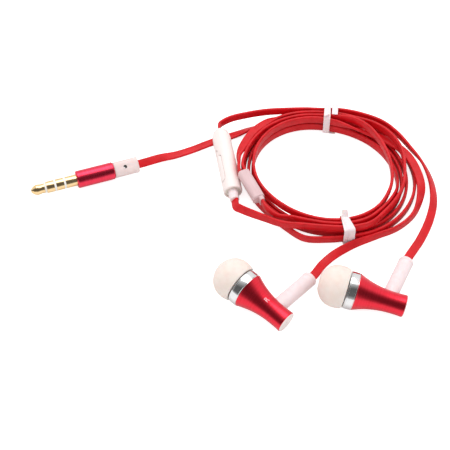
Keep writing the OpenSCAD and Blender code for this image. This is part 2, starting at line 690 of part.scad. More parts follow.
// Right branch: a turn and a third on top, out flat on the right, and back
// along the floor to the bud
RIGHT = concat(leave(splitter_out - branch_gap * splitter_left, splitter_axis, 90), [
    [-19.9, 46.3, 5.6, 90], [-19.5, 49, 5.15, 90], wound(18, 2.05, 1), wound(30, 1.65, 1),
    wound(45, 1.35, 1), wound(60, 1.1, 1), wound(75, 1, 1), wound(90, 1, 1),
    wound(105, 0.85, 1.3), wound(120, 0.8, 1.68),
    wound(135, 0.6, 1.72), wound(150, 0.3, 1.55), wound(165, 0.1, 1.3), wound(180, -0.05, 1.1),
    wound(195, -0.15, 1), wound(210, -0.2, 1), wound(225, -0.05, 1), wound(240, 0, 1),
    wound(255, 0, 1), wound(270, 0, 1), wound(285, 0, 1), wound(300, 0.05, 1),
    wound(315, 0.1, 1), wound(330, 0.2, 1), wound(345, 0.3, 1), wound(0, 0.2, 1),
    wound(15, 0.05, 1), wound(30, 0, 1), wound(45, 0, 1), wound(60, 0, 1),
    wound(75, 0, 1), wound(90, 0, 1), wound(105, -0.05, 1, 85), wound(120, 0.15, 0.99, 50),
    wound(135, 0.95, 0.82, 15), wound(150, 1.85, 0.74, 0), wound(165, 2.6, 0.73, 0),
    wound(180, 3, 0.73, 0), wound(192, 3.45, 0.65, 10),
    [32.7, 35.8, 2.6, 45], [30.4, 30.3, 1.5, 80], [25.3, 25.2, 1.35, 90], [18.8, 22.1, 1.35, 85],
    [12, 19.1, 1.25, 60], [6.4, 15.6, 0.95, 25], [2.8, 12, 1, 8]],
    arrive(right_in, right_dir, right_roll));

// Section of the flat cord, across its width and through its thickness
function section(sides) = let (a = cord_w / 2, b = cord_t / 2, c = cord_t * 0.3)
    sides == 6
        ? [[-a, 0], [c - a, b], [a - c, b], [a, 0], [a - c, -b], [c - a, -b]]
        : [[-a, c - b], [-a, b - c], [c - a, b], [a - c, b],
            [a, b - c], [a, c - b], [a - c, -b], [c - a, -b]];
function place(q) = [q[0], q[1], q[2]];
// One ring of the tube at point i; the first and last points have no ring
function cord_ring(pts, i, sides) =
    let (along = place(pts[i + 1]) - place(pts[i - 1]), t = along / norm(along),
        flat = cross(t, [0, 0, 1]), s = flat / norm(flat), u = cross(s, t), roll = pts[i][3],
        across = cos(roll) * s + sin(roll) * u, through = cos(roll) * u - sin(roll) * s)
    [for (q = section(sides)) place(pts[i]) + q[0] * across + q[1] * through];
function cord_rings(pts, sides) = [for (i = [1:len(pts) - 2]) cord_ring(pts, i, sides)];

module flat_cord(pts, sides) {
    rings = cord_rings(pts, sides);
    n = len(rings);
    last = (n - 1) * sides;
    walls = [for (i = [0:n - 2], k = [0:sides - 1])
        let (a = i * sides + k, b = i * sides + (k + 1) % sides)
        each [[a, a + sides, b], [b, a + sides, b + sides]]];
    start = [for (k = [1:sides - 2]) [0, k, k + 1]];
    end = [for (k = [1:sides - 2]) [last, last + k + 1, last + k]];
    color(RED) polyhedron(points = [for (r = rings) each r], faces = concat(walls, start, end));
}

// Least distance between rings that lie about one loop apart
function self_gap(rings) = min([for (i = [0:len(rings) - 21], j = [i + 20:min(i + 28, len(rings) - 1)],
    p = rings[i], q = rings[j]) norm(p - q)]);
echo(str("Least gap of the coil to itself, mm: ", self_gap(cord_rings(COIL, 6))));
echo(str("Least gap of the right branch to itself, mm: ", self_gap(cord_rings(RIGHT, 6))));
echo(str("Least gap of the left branch to itself, mm: ", self_gap(cord_rings(LEFT_LOWER, 6))));

function route_len(pts) = [for (i = 1, s = 0; i < len(pts) - 1;
    s = s + (i < len(pts) - 2 ? norm(place(pts[i + 1]) - place(pts[i])) : 0), i = i + 1) s];
echo(str("Main cord, mm: ", max(route_len(LEAD)) + max(route_len(COIL)) + max(route_len(TAIL))));
echo(str("Left branch, mm: ", max(route_len(LEFT_LOWER)) + max(route_len(LEFT_UPPER))));
echo(str("Right branch, mm: ", max(route_len(RIGHT))));

// ---------------------------------------------------------------- ties
tie_gap = 0.3;                         // between a tie and the strands
top_tie_phase = 96;
bottom_tie_phase = 256;

// Across the bundle at a phase: X outwards, Y along the strands, Z up
module at_phase(phase) {
    translate([COIL_X, COIL_Y, 0]) rotate([0, 0, 180 - phase]) children();
}

// Closed strap round a bundle between two radii, with rounded corners
module strap(r_in, r_out, high, wide) {
    z_in = tie_t + LIFT;
    corner = 0.4;
    x0 = r_in - tie_gap;
    x1 = r_out + tie_gap;
    difference() {
        strap_block(x0 - tie_t, x1 + tie_t, LIFT, high + tie_t, corner + tie_t, wide);
        strap_block(x0, x1, z_in, high, corner, wide + 1);
    }
}

// Block with rounded long edges along Y
module strap_block(x0, x1, z0, z1, r, wide) {
    translate([x0 + r, -wide / 2, z0]) cube([x1 - x0 - 2 * r, wide, z1 - z0]);
    translate([x0, -wide / 2, z0 + r]) cube([x1 - x0, wide, z1 - z0 - 2 * r]);
    for (x = [x0 + r, x1 - r], z = [z0 + r, z1 - r])
        translate([x, -wide / 2, z]) rotate([-90, 0, 0]) cylinder(r = r, h = wide, $fn = 32);
}

// Top of a bundle whose highest strand lies in the given layer
function bundle_top(layer) = level(layer) + cord_w / 2 + 0.12;
function inner_r(phase) = coil_r + coil_oval * cos(2 * (phase - 45)) - cord_t / 2;

// A whole turn of the strap, and beside it a second turn that stops short
module twist_tie_top() {
    a = inner_r(top_tie_phase) - 0.15;
    b = a + 3.3 * LANE + cord_t;
    top = bundle_top(1.2);
    beside = tie_w + 0.3;
    color(OFF_WHITE) at_phase(top_tie_phase) {
        strap(a, b, top, tie_w);
        translate([0, -beside, 0]) difference() {
            strap(a, b + 0.2, bundle_top(1.36), tie_w - 0.2);
            translate([0, -tie_w, UNDER]) cube([a + 0.9, 2 * tie_w, 2 * top]);
        }
        translate([a - tie_gap - tie_t, -beside, LIFT]) cube([b - a, beside, tie_t]);
        translate([a + 0.5, -tie_w / 2, top + tie_t - 0.3]) rotate([0, -35, 0])
            cube([tie_t, tie_w * 0.8, 1.8]);
    }
}

// Two turns of the strap that cross on top of the bundle
module twist_tie_bottom() {
    a = inner_r(bottom_tie_phase) - 0.2;
    b = a + 2.6 * LANE + cord_t + 0.9;
    top = bundle_top(1);
    mid = (a + b) / 2;
    color(OFF_WHITE) at_phase(bottom_tie_phase) {
        for (s = [-1, 1])
            translate([mid, 0, 0]) rotate([0, 0, 7 * s]) translate([-mid, 0.3 * s, 0])
                strap(a, b, top, tie_w);
        translate([a + 0.5, -tie_w / 2, top + tie_t - 0.3]) rotate([0, -30, 0])
            cube([tie_t, tie_w * 0.9, 2.2]);
    }
}

at_bud(RIGHT_BUD) ear_tip();  // right_ear_tip
at_bud(RIGHT_BUD) acoustic_mesh();  // right_acoustic_mesh
at_bud(RIGHT_BUD) nozzle();  // right_nozzle
at_bud(RIGHT_BUD) bezel();  // right_bezel
at_bud(RIGHT_BUD) diaphragm();  // right_diaphragm
at_bud(RIGHT_BUD) voice_coil();  // right_voice_coil
at_bud(RIGHT_BUD) magnet();  // right_magnet
at_bud(RIGHT_BUD) yoke();  // right_yoke
at_bud(RIGHT_BUD) driver_frame();  // right_driver_frame
at_bud(RIGHT_BUD) terminal_board();  // right_terminal_board
at_bud(RIGHT_BUD) inner_wires(RIGHT_BUD);  // right_inner_wires
at_bud(RIGHT_BUD) housing(RIGHT_BUD);  // right_housing
at_bud(RIGHT_BUD) rear_cap();  // right_rear_cap
at_bud(RIGHT_BUD) boot(RIGHT_BUD);  // right_boot
at_bud(RIGHT_BUD) cable_stop(RIGHT_BUD);  // right_cable_stop
at_bud(LEFT_BUD) ear_tip();  // left_ear_tip
at_bud(LEFT_BUD) acoustic_mesh();  // left_acoustic_mesh
at_bud(LEFT_BUD) nozzle();  // left_nozzle
at_bud(LEFT_BUD) bezel();  // left_bezel
at_bud(LEFT_BUD) diaphragm();  // left_diaphragm
at_bud(LEFT_BUD) voice_coil();  // left_voice_coil
at_bud(LEFT_BUD) magnet();  // left_magnet
at_bud(LEFT_BUD) yoke();  // left_yoke
at_bud(LEFT_BUD) driver_frame();  // left_driver_frame
at_bud(LEFT_BUD) terminal_board();  // left_terminal_board
at_bud(LEFT_BUD) inner_wires(LEFT_BUD);  // left_inner_wires
at_bud(LEFT_BUD) housing(LEFT_BUD);  // left_housing
at_bud(LEFT_BUD) rear_cap();  // left_rear_cap
at_bud(LEFT_BUD) boot(LEFT_BUD);  // left_boot
at_bud(LEFT_BUD) cable_stop(LEFT_BUD);  // left_cable_stop
at_plug() plug_tip();
at_plug() plug_ring(0);  // plug_ring_1
at_plug() plug_ring(1);  // plug_ring_2
at_plug() plug_sleeve();
at_plug() plug_insulators();
at_plug() plug_core();
at_plug() plug_barrel();
at_plug() plug_boot();
at_remote() remote_shell();
at_remote() remote_end_ring();
at_remote() remote_relief();
at_remote() remote_button();
at_remote() remote_board();
at_remote() remote_switch();
at_remote() remote_microphone();
at_splitter() splitter_cover(-1);  // splitter_upper
at_splitter() splitter_cover(1);  // splitter_lower
at_splitter() splitter_joint();
twist_tie_top();
twist_tie_bottom();
flat_cord(LEAD, 8);  // cord_lead
flat_cord(COIL, 6);  // cord_coil
flat_cord(TAIL, 6);  // cord_tail
flat_cord(LEFT_LOWER, 6);  // cord_left_lower
flat_cord(LEFT_UPPER, 8);  // cord_left_upper
flat_cord(RIGHT, 6);  // cord_right
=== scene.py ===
"""Wired in-ear earphones: a flat red cord wound into an oval coil and held by two ties,
with its plug, splitter, inline remote and two horn-shaped earbuds lying round it.
Lengths below are in millimetres; add_mesh and the matrices turn them into metres."""
from math import atan, ceil, copysign, cos, degrees, exp, pi, radians, sin, sqrt, tan

import bmesh
import bpy
from mathutils import Matrix, Vector, noise


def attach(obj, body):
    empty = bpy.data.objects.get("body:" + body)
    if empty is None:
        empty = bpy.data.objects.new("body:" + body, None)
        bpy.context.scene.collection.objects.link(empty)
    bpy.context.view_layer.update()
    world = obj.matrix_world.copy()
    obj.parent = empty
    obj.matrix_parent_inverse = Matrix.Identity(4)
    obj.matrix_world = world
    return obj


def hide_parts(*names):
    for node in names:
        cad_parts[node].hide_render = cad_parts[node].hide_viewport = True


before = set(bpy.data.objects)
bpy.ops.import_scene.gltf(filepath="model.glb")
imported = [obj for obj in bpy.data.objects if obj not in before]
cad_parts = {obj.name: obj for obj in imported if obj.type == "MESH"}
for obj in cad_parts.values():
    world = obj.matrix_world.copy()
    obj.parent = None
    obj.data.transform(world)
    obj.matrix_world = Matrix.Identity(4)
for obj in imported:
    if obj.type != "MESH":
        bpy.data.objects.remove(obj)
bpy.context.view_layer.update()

MM = 0.001
BODY = "earphones"
OWN_SPACE = "own_space"

# ---- shared sizes
# R is a radius, W a width, T a thickness and LEN a length. A bud's Z runs from its back rim
# to its ear tip, the plug's from its tip to its cord, the remote's and the splitter's from
# the end where the plug's side of the cord comes in.
CORD_W = 2.6
CORD_T = 0.85
STRAND_GAP = 0.45
LANE = CORD_T + STRAND_GAP
LAYER = CORD_W + STRAND_GAP
UNDER = 0.5
SLOT_DEPTH = 1.0
SLOT_PLAY = 0.24
LIFT = 0.05

BACK_R = 3.175
WAIST_R = 3.05
WAIST_Z = 3.0
FRONT_R = 5.3
HORN_LEN = 14.0
DRIVER_R = 3.5
CAP_HOLE_R = 1.8
REAR_T = 1.2
BEZEL_R = 5.35
BEZEL_LEN = 2.5
TIP_R = 6.0
TIP_LEN = 8.0
TIP_WALL = 0.7
TIP_GAP = 0.3
TIP_BACK = 0.29
TIP_NOSE = 0.71 * TIP_LEN
TIP_Z = HORN_LEN + BEZEL_LEN + TIP_GAP
TIP_WIDE_Z = TIP_Z + TIP_BACK * TIP_LEN
TIP_SLACK = 0.09
NOZZLE_R = 2.3
NOZZLE_Z = 22.0
BOOT_R = 2.2
BOOT_REACH = 16.7
BOOT_Z = 5.0
CAP_T = 0.25
BUD_PITCH = degrees(atan(max((BEZEL_R - BACK_R) / HORN_LEN,
                             (TIP_R + TIP_SLACK - BACK_R) / TIP_WIDE_Z)))
BUD_H = BACK_R * cos(radians(BUD_PITCH)) + LIFT / 2
# x, y, heading, lean of the boot and roll
RIGHT_BUD = (-8.5, -9.9, 138.6, 1, 5)
LEFT_BUD = (24.3, -4.5, 165.8, 11, 3.5)

PIN_R = 1.75
PIN_LEN = 14.0
BARREL_R = 2.65
BARREL_LEN = 11.6
PLUG_BOOT_LEN = 7.6
PLUG_HEADING = 19.3
PLUG_ROLL = 35
PLUG_END = Vector((-51.65, 49.2, 2.7))

REMOTE_R = 2.85
REMOTE_LEN = 24.5
REMOTE_START = Vector((-22.8, 37.7, 2.9))
REMOTE_HEADING = 99.2
REMOTE_TILT = 2.0
RELIEF_LEN = 3.0
RELIEF_ROLL = 50
NOSE_LEN = 4.5
NOSE_R = 1.7
BUTTON_TURN = 120
BUTTON_Z = 8.5
BUTTON_W = 2.2
BUTTON_LEN = 10.0

SPLITTER_START = Vector((-14.7, 30.9, 6.1))
SPLITTER_HEADING = 113.5
SPLITTER_W = 3.6
SPLITTER_T = 3.4
SPLITTER_LEN = 12.6
BRANCH_GAP = 0.7
TAIL_PORT = 0.5

TIE_W = 2.0
TIE_T = 0.4
TIE_GAP = 0.3
TOP_TIE_PHASE = 96
BOTTOM_TIE_PHASE = 256


# ---- placing
def turn(axis, angle):
    return Matrix.Rotation(radians(angle), 4, axis)


def shift(v):
    return Matrix.Translation(Vector(v))


def bud_matrix(bud):
    x, y, heading, _, roll = bud
    return shift((x, y, BUD_H)) @ turn("Z", heading) @ turn("Y", 90 - BUD_PITCH) @ turn("Z", roll)


def boot_matrix(bud):
    return bud_matrix(bud) @ shift((0, 0, BOOT_Z)) @ turn("X", 90 + bud[3])


PLUG_AXIS = turn("Z", PLUG_HEADING) @ Vector((1, 0, 0))
PLUG_LEN = PIN_LEN + BARREL_LEN + PLUG_BOOT_LEN
PLUG = (shift(PLUG_END - PLUG_LEN * PLUG_AXIS) @ turn("Z", PLUG_HEADING) @ turn("Y", 90)
        @ turn("Z", PLUG_ROLL))
REMOTE = shift(REMOTE_START) @ turn("Z", REMOTE_HEADING) @ turn("Y", 90 - REMOTE_TILT)
SPLITTER = shift(SPLITTER_START) @ turn("Z", SPLITTER_HEADING) @ turn("Y", 90)


def axis_of(matrix):
    return (matrix.to_3x3() @ Vector((0, 0, 1))).normalized()


def strip_axes(along, up, roll=0.0):
    """The directions across a flat strip that runs along, and through it, after a roll."""
    s = along.cross(Vector(up)).normalized()
    u = s.cross(along)
    return cos(roll) * s + sin(roll) * u, cos(roll) * u - sin(roll) * s


# ---- meshes
def new_object(name, data):
    obj = bpy.data.objects.new(name, data)
    bpy.context.scene.collection.objects.link(obj)
    return obj


def add_mesh(name, verts, faces, matrix=Matrix(), sharp=35.0):
    """A smooth-shaded mesh object from points in millimetres, placed by matrix."""
    mesh = bpy.data.meshes.new(name)
    mesh.from_pydata([Vector(v) * MM for v in verts], [], faces)
    tidy = bmesh.new()
    tidy.from_mesh(mesh)
    bmesh.ops.remove_doubles(tidy, verts=tidy.verts, dist=1e-7)
    bmesh.ops.recalc_face_normals(tidy, faces=tidy.faces)
    tidy.to_mesh(mesh)
    tidy.free()
    obj = new_object(name, mesh)
    obj.matrix_world = shift(matrix.translation * MM) @ matrix.to_3x3().to_4x4()
    smooth(obj, sharp)
    return obj


def smooth(obj, sharp=35.0):
    obj.data.polygons.foreach_set("use_smooth", [True] * len(obj.data.polygons))
    obj.data.set_sharp_from_angle(angle=radians(sharp))


def rounded(corners, steps=5, closed=True):
    """A polygon of (x, y) or (x, y, radius) corners as (x, y) points, with arcs at the radii."""
    points = []
    n = len(corners)
    for i, corner in enumerate(corners):
        here = Vector(corner[:2])
        radius = corner[2] if len(corner) > 2 else 0
        if not radius or (not closed and i in (0, n - 1)):
            points.append(tuple(here))
            continue
        to_a = (Vector(corners[i - 1][:2]) - here).normalized()
        to_b = (Vector(corners[(i + 1) % n][:2]) - here).normalized()
        half = to_a.angle(to_b) / 2
        back = radius / tan(half)
        middle = here + (to_a + to_b).normalized() * radius / sin(half)
        a, b = here + to_a * back - middle, here + to_b * back - middle
        sweep = a.angle(b)
        for k in range(steps + 1):
            t = k / steps
            p = (a * sin((1 - t) * sweep) + b * sin(t * sweep)) / sin(sweep)
            points.append(tuple(middle + p))
    return points


def lathe(name, profile, matrix=Matrix(), closed=False, segments=144, sharp=35.0):
    """Turns a profile of (radius, z) points round Z; a closed profile makes a tube."""
    verts = []
    for k in range(segments):
        a = 2 * pi * k / segments
        verts += [(r * cos(a), r * sin(a), z) for r, z in profile]
    n = len(profile)
    faces = []
    for k in range(segments):
        a, b = k * n, (k + 1) % segments * n
        for i in range(n if closed else n - 1):
            j = (i + 1) % n
            corners = [a + i, a + j, b + j, b + i]
            if profile[i][0] < 1e-9:
                del corners[3]
            elif profile[j][0] < 1e-9:
                del corners[2]
            faces.append(corners)
    return add_mesh(name, verts, faces, matrix, sharp)


def turned(name, profile, matrix, material, slot, *nodes, body=BODY, **shape):
    return finish_piece(lathe(name, profile, matrix, **shape), material, slot, *nodes, body=body)


def loft(name, stations, matrix=Matrix(), segments=72, sharp=35.0):
    """Skins rounded-square sections (z, half x, half y, power) and closes both ends."""
    rings = []
    for z, a, b, power in stations:
        ring = []
        for k in range(segments):
            t = 2 * pi * k / segments
            c, s = cos(t), sin(t)
            ring.append((a * copysign(abs(c) ** (2 / power), c),
                         b * copysign(abs(s) ** (2 / power), s), z))
        rings.append(ring)
    return skin(name, rings, matrix, sharp=sharp)


def skin(name, rings, matrix=Matrix(), closed=False, sharp=35.0, with_uv=False):
    """Joins rings of points into a tube; its UV is (mm along it, share round it)."""
    n = len(rings[0])
    count = len(rings)
    verts = [p for ring in rings for p in ring]
    faces = []
    for i in range(count if closed else count - 1):
        a, b = i * n, (i + 1) % count * n
        faces += [(a + k, a + (k + 1) % n, b + (k + 1) % n, b + k) for k in range(n)]
    if not closed:
        faces += [tuple(range(n)), tuple(range((count - 1) * n, count * n))]
    obj = add_mesh(name, verts, faces, matrix, sharp)
    if with_uv:
        middles = [sum((Vector(p) for p in ring), Vector()) / n for ring in rings]
        along = [0.0]
        for a, b in zip(middles, middles[1:]):
            along.append(along[-1] + (b - a).length)
        layer = obj.data.uv_layers.new(name="along")
        for poly in obj.data.polygons:
            for k in poly.loop_indices:
                v = obj.data.loops[k].vertex_index
                layer.data[k].uv = (along[v // n], (v % n) / n)
    return obj


def box(size, matrix):
    """A plain box as a cutter, centred on the matrix."""
    x, y, z = (s / 2 for s in size)
    verts = [(i * x, j * y, k * z) for i in (-1, 1) for j in (-1, 1) for k in (-1, 1)]
    faces = [(0, 1, 3, 2), (4, 6, 7, 5), (0, 4, 5, 1), (2, 3, 7, 6), (0, 2, 6, 4), (1, 5, 7, 3)]
    return add_mesh("cutter", verts, faces, matrix)


def bar(radius, length, matrix, segments=48):
    """A round bar as a cutter, centred on the matrix and along its Z."""
    half = length / 2
    return lathe("cutter", [(0, -half), (radius, -half), (radius, half), (0, half)], matrix,
                 segments=segments)


def cord_slot(matrix, end, y=0.0, wide_along_y=True):
    """Cutter for the slot in which a flat cord enters a piece at end."""
    wide, thin = CORD_W + SLOT_PLAY, CORD_T + SLOT_PLAY
    size = (thin, wide, 2 * SLOT_DEPTH) if wide_along_y else (wide, thin, 2 * SLOT_DEPTH)
    return box(size, matrix @ shift((0, y, end)))


def eased_end(edge, steps):
    """An end's rounded edge as (distance from the end, inset), from the side to the end."""
    angles = [pi / 2 * k / steps for k in range(steps + 1)]
    return [(edge * (1 - sin(a)), edge * (1 - cos(a))) for a in angles][::-1]


def shaped_mesh(obj):
    bpy.context.view_layer.update()
    return bpy.data.meshes.new_from_object(
        obj.evaluated_get(bpy.context.evaluated_depsgraph_get()))


def apply_modifiers(obj, sharp=35.0):
    mesh = shaped_mesh(obj)
    obj.modifiers.clear()
    obj.data = mesh
    mesh.name = obj.name
    smooth(obj, sharp)


def carve(obj, cutters, operation="DIFFERENCE", sharp=35.0):
    """Cuts the cutters out of obj, or keeps what lies in them, and removes them."""
    for cutter in cutters:
        step = obj.modifiers.new("carve", "BOOLEAN")
        step.operation = operation
        step.solver = "EXACT"
        step.object = cutter
    apply_modifiers(obj, sharp)
    for cutter in cutters:
        bpy.data.objects.remove(cutter)


def ease_edges(obj, width, segments=3, angle=30.0):
    """Rounds every edge sharper than angle."""
    step = obj.modifiers.new("bevel", "BEVEL")
    step.width = width * MM
    step.segments = segments
    step.limit_method = "ANGLE"
    step.angle_limit = radians(angle)
    step.harden_normals = False
    apply_modifiers(obj)


def finish_piece(obj, material, slot, *nodes, body=BODY):
    """Gives a piece its material, rides it on its body, and hides the CAD nodes that it
    stands for; the slot argument is not used. The mesh moves to its place in the frame,
    and an attribute keeps the piece's own coordinates for its material."""
    count = len(obj.data.vertices)
    own = [0.0] * (3 * count)
    obj.data.vertices.foreach_get("co", own)
    obj.data.attributes.new(OWN_SPACE, "FLOAT_VECTOR", "POINT").data.foreach_set("vector", own)
    obj.data.transform(obj.matrix_world)
    obj.matrix_world = Matrix()
    obj.data.materials.clear()
    obj.data.materials.append(material)
    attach(obj, body)
    if nodes:
        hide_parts(*nodes)
    return obj


# ---- camera
VIEW_TARGET = Vector((-25.2, 27.4, 0))
VIEW_ELEVATION = 50.0
VIEW_DISTANCE = 367.6
VIEW_LENS = 100


def make_camera():
    data = bpy.data.cameras.new("camera")
    data.lens = VIEW_LENS
    data.sensor_width = 36
    data.clip_start = 0.01
    data.clip_end = 20
    cam = new_object("camera", data)
    lift = radians(VIEW_ELEVATION)
    back = Vector((0, -cos(lift), sin(lift)))
    cam.location = (VIEW_TARGET + VIEW_DISTANCE * back) * MM
    cam.rotation_euler = (radians(90 - VIEW_ELEVATION), 0, 0)
    bpy.context.scene.camera = cam


# ---- cord routes
# A point of a route is x, y, z and the roll of the flat cord: 90 on edge, 0 flat.
COIL_X = 4.3
COIL_Y = 45.4
COIL_R = 20.6
COIL_OVAL = 1.2
TURN = 15
COIL_START = 75
COIL_END = 1245
FAN = (0, 0, 0, 0.75, 0.95, 0.55, 0, 0)


def fan(phase):
    """Extra lane width where the strands fan out on the coil's right side."""
    s = phase % 360 / 45
    i = int(s)
    a, b, c, d = (FAN[(i + k) % 8] for k in (-1, 0, 1, 2))
    t = s - i
    return max(0, 0.5 * (2 * b + (c - a) * t + (2 * a - 5 * b + 4 * c - d) * t * t
                         + (3 * b - a - 3 * c + d) * t ** 3))


def oval_r(phase):
    return COIL_R + COIL_OVAL * cos(2 * radians(phase - 45))


def level(layer):
    return UNDER + CORD_W / 2 + layer * LAYER


def wound(phase, lane, layer=1, roll=90, out=0.0):
    """Point of the coil: phase 0 left, 90 far side; lane 0 innermost; layer 0 lowest."""
    a = radians(phase)
    r = oval_r(phase) + lane * LANE * (1 + fan(phase)) + out
    return (COIL_X - r * cos(a), COIL_Y + r * sin(a), level(layer), roll)


def wounds(*places):
    return [wound(*place) for place in places]


def spiral(phase):
    """The plug's cord winds inwards by a lane a turn, bulging where it leaves the tie."""
    u = (phase - 90) / 360
    lane = 3 - u + 0.44 * max(0, u - 1.25) * fan(phase)
    bulge = 2.2 * exp(-((phase - 284) / 17) ** 2)
    return wound(phase, lane, 0, 90, bulge)


def squarely(p, d, roll):
    """Three points along d with p in the middle; the outer one only sets the direction."""
    return [(*(p + k * CORD_W * d), roll) for k in (-1, 0, 1)]


def slot_roll(along, side):
    s, u = strip_axes(along, (0, 0, 1))
    return degrees(atan(side.dot(u) / side.dot(s)))


def bud_entry(bud):
    """Where the cord enters a bud's boot, its direction there and its roll."""
    m = boot_matrix(bud)
    p = m @ Vector((0, 0, BOOT_REACH - SLOT_DEPTH))
    d = -axis_of(m)
    return p, d, slot_roll(d, m.to_3x3() @ Vector((0, 1, 0)))


PLUG_EXIT = PLUG_END - SLOT_DEPTH * PLUG_AXIS
SPLITTER_AXIS = axis_of(SPLITTER)
SPLITTER_LEFT = SPLITTER.to_3x3() @ Vector((0, 1, 0))
SPLITTER_TAIL = SPLITTER_START - TAIL_PORT * SPLITTER_LEFT
SPLITTER_OUT = SPLITTER_START + (SPLITTER_LEN - SLOT_DEPTH) * SPLITTER_AXIS
REMOTE_AXIS = axis_of(REMOTE)
REMOTE_IN = REMOTE_START - RELIEF_LEN * REMOTE_AXIS
REMOTE_OUT = REMOTE_START + (REMOTE_LEN - SLOT_DEPTH) * REMOTE_AXIS

LEAD = squarely(PLUG_EXIT, PLUG_AXIS, -PLUG_ROLL) + [
    (-44.8, 52.9, 1.6, -24), (-40.4, 55, 0.65, -5), (-35.2, 57.4, 0.5, 0),
    (-30.2, 60.1, 0.45, 0), (-25.7, 62.2, 0.45, 0), (-21.5, 63.8, 0.75, 10),
    (-17.2, 65.7, 1.2, 35), (-12.5, 67.3, 1.5, 60), (-7.8, 68.5, 1.7, 85)]
COIL = [spiral(a) for a in range(COIL_START, COIL_END + 1, TURN)]
TAIL = wounds(
    (180, 0.62, 0.02), (195, 0.62, 0.3), (210, 0.52, 0.8), (225, 0.6), (240, 0.95), (255, 1),
    (270, 1), (285, 1.15), (297, 1.8)
    ) + [(-10.1, 26.2, 5.4, 90)] + squarely(SPLITTER_TAIL, SPLITTER_AXIS, 90)

LEFT_LOWER = squarely(SPLITTER_OUT + BRANCH_GAP * SPLITTER_LEFT, SPLITTER_AXIS, 90) + [
    (-21.1, 45.5, 6, 90), (-21, 47.8, 5.6, 88), (-20.9, 50.5, 5.1, 62),
    (-20.2, 53.4, 4.9, 20), (-18.8, 57, level(0.93), 0), (-16.2, 61.4, level(0.93), 0),
    (-12, 65.3, level(0.95), 10)] + wounds(
    (60, 2.7, 0.98, 55), (75, 2.05, 1, 88), (90, 2), (105, 2.05), (120, 2, 1.1),
    (135, 2.1, 1.35), (150, 2.05, 1.52), (165, 1.85, 1.5), (180, 1.5, 1.2), (195, 1.3),
    (210, 1.15), (225, 1.25), (240, 1.95), (255, 2), (270, 2), (285, 2.55)
    ) + [(-8.7, 23.8, 4.8, 90), (-14, 26.5, 4.4, 80), (-18.5, 29.3, 3.7, 66),
         (-21.1, 31.3, 3.1, 56)] + squarely(REMOTE_IN, REMOTE_AXIS, RELIEF_ROLL)

LEFT_UPPER = squarely(REMOTE_OUT, REMOTE_AXIS, 90) + [
    (-26.8, 65.2, 3.5, 90), (-23.8, 66.9, 4.2, 90), (-18, 68.4, 4.7, 90),
    (-12, 69.5, level(1), 90)] + wounds(
    (70, 3.7), (80, 3.15), (90, 3), (105, 3.3), (120, 3.3), (135, 3.5, 0.95)
    ) + [(28, 60.6, 4.1, 85), (31.9, 55.1, 3.1, 76), (34.8, 50.5, 2.3, 62),
         (36.8, 43.6, 1.65, 48), (36.9, 36, 1.3, 36), (35, 28.7, 1.05, 25),
         (31.8, 21.7, 0.8, 10), (29.2, 17, 1.6, 4)] + squarely(*bud_entry(LEFT_BUD))

RIGHT = squarely(SPLITTER_OUT - BRANCH_GAP * SPLITTER_LEFT, SPLITTER_AXIS, 90) + [
    (-19.9, 46.3, 5.6, 90), (-19.5, 49, 5.15, 90)] + wounds(
    (18, 2.05), (30, 1.65), (45, 1.35), (60, 1.1), (75, 1), (90, 1), (105, 0.85, 1.3),
    (120, 0.8, 1.68), (135, 0.6, 1.72), (150, 0.3, 1.55), (165, 0.1, 1.3), (180, -0.05, 1.1),
    (195, -0.15), (210, -0.2), (225, -0.05), (240, 0), (255, 0), (270, 0), (285, 0),
    (300, 0.05), (315, 0.1), (330, 0.2), (345, 0.3), (0, 0.2), (15, 0.05), (30, 0), (45, 0),
    (60, 0), (75, 0), (90, 0), (105, -0.05, 1, 85), (120, 0.15, 0.99, 50),
    (135, 0.95, 0.82, 15), (150, 1.85, 0.74, 0), (165, 2.6, 0.73, 0), (180, 3, 0.73, 0),
    (192, 3.45, 0.65, 10)
    ) + [(32.7, 35.8, 2.6, 45), (30.4, 30.3, 1.5, 80), (25.3, 25.2, 1.35, 90),
         (18.8, 22.1, 1.35, 85), (12, 19.1, 1.25, 60), (6.4, 15.6, 0.95, 25),
         (2.8, 12, 1, 8)] + squarely(*bud_entry(RIGHT_BUD))


# ---- cords
def smooth_route(points, step=0.6):
    """Centripetal curve through all but the first and last point, about step apart."""
    places = [Vector(p) for p in points]
    dense = []
    for i in range(1, len(places) - 2):
        p = places[i - 1:i + 3]
        knots = [0.0]
        for a, b in zip(p, p[1:]):
            knots.append(knots[-1] + (b.xyz - a.xyz).length ** 0.5)
        count = max(2, round((p[2].xyz - p[1].xyz).length / step))
        for k in range(count):
            dense.append(on_curve(p, knots, knots[1] + (knots[2] - knots[1]) * k / count))
    dense.append(places[-2])
    return dense


def on_curve(p, knots, t):
    """Barry and Goldman's pyramid for one stretch of a Catmull-Rom curve."""
    row = p
    for depth in (1, 2, 3):
        lower = []
        for i in range(4 - depth):
            lo, hi = (1, 2) if depth == 3 else (i, i + depth)
            span = knots[hi] - knots[lo]
            lower.append(row[i] * ((knots[hi] - t) / span) + row[i + 1] * ((t - knots[lo]) / span))
        row = lower
    return row[0]


def cord_section():
    """The flat jacket's outline: rounded edges, and faces that swell a little."""
    w, t, r, swell = CORD_W / 2, CORD_T / 2, 0.36, 0.06
    outline = rounded([(-w, -t, r), (w, -t, r), (w, t, r), (-w, t, r)], steps=7)
    section = []
    for a, b in zip(outline, outline[1:] + outline[:1]):
        section.append(a)
        if abs(a[0] - b[0]) > 1:
            for k in (1, 2, 3):
                x = a[0] + (b[0] - a[0]) * k / 4
                section.append((x, a[1] + copysign(swell, a[1]) * (1 - (x / w) ** 2)))
    return section


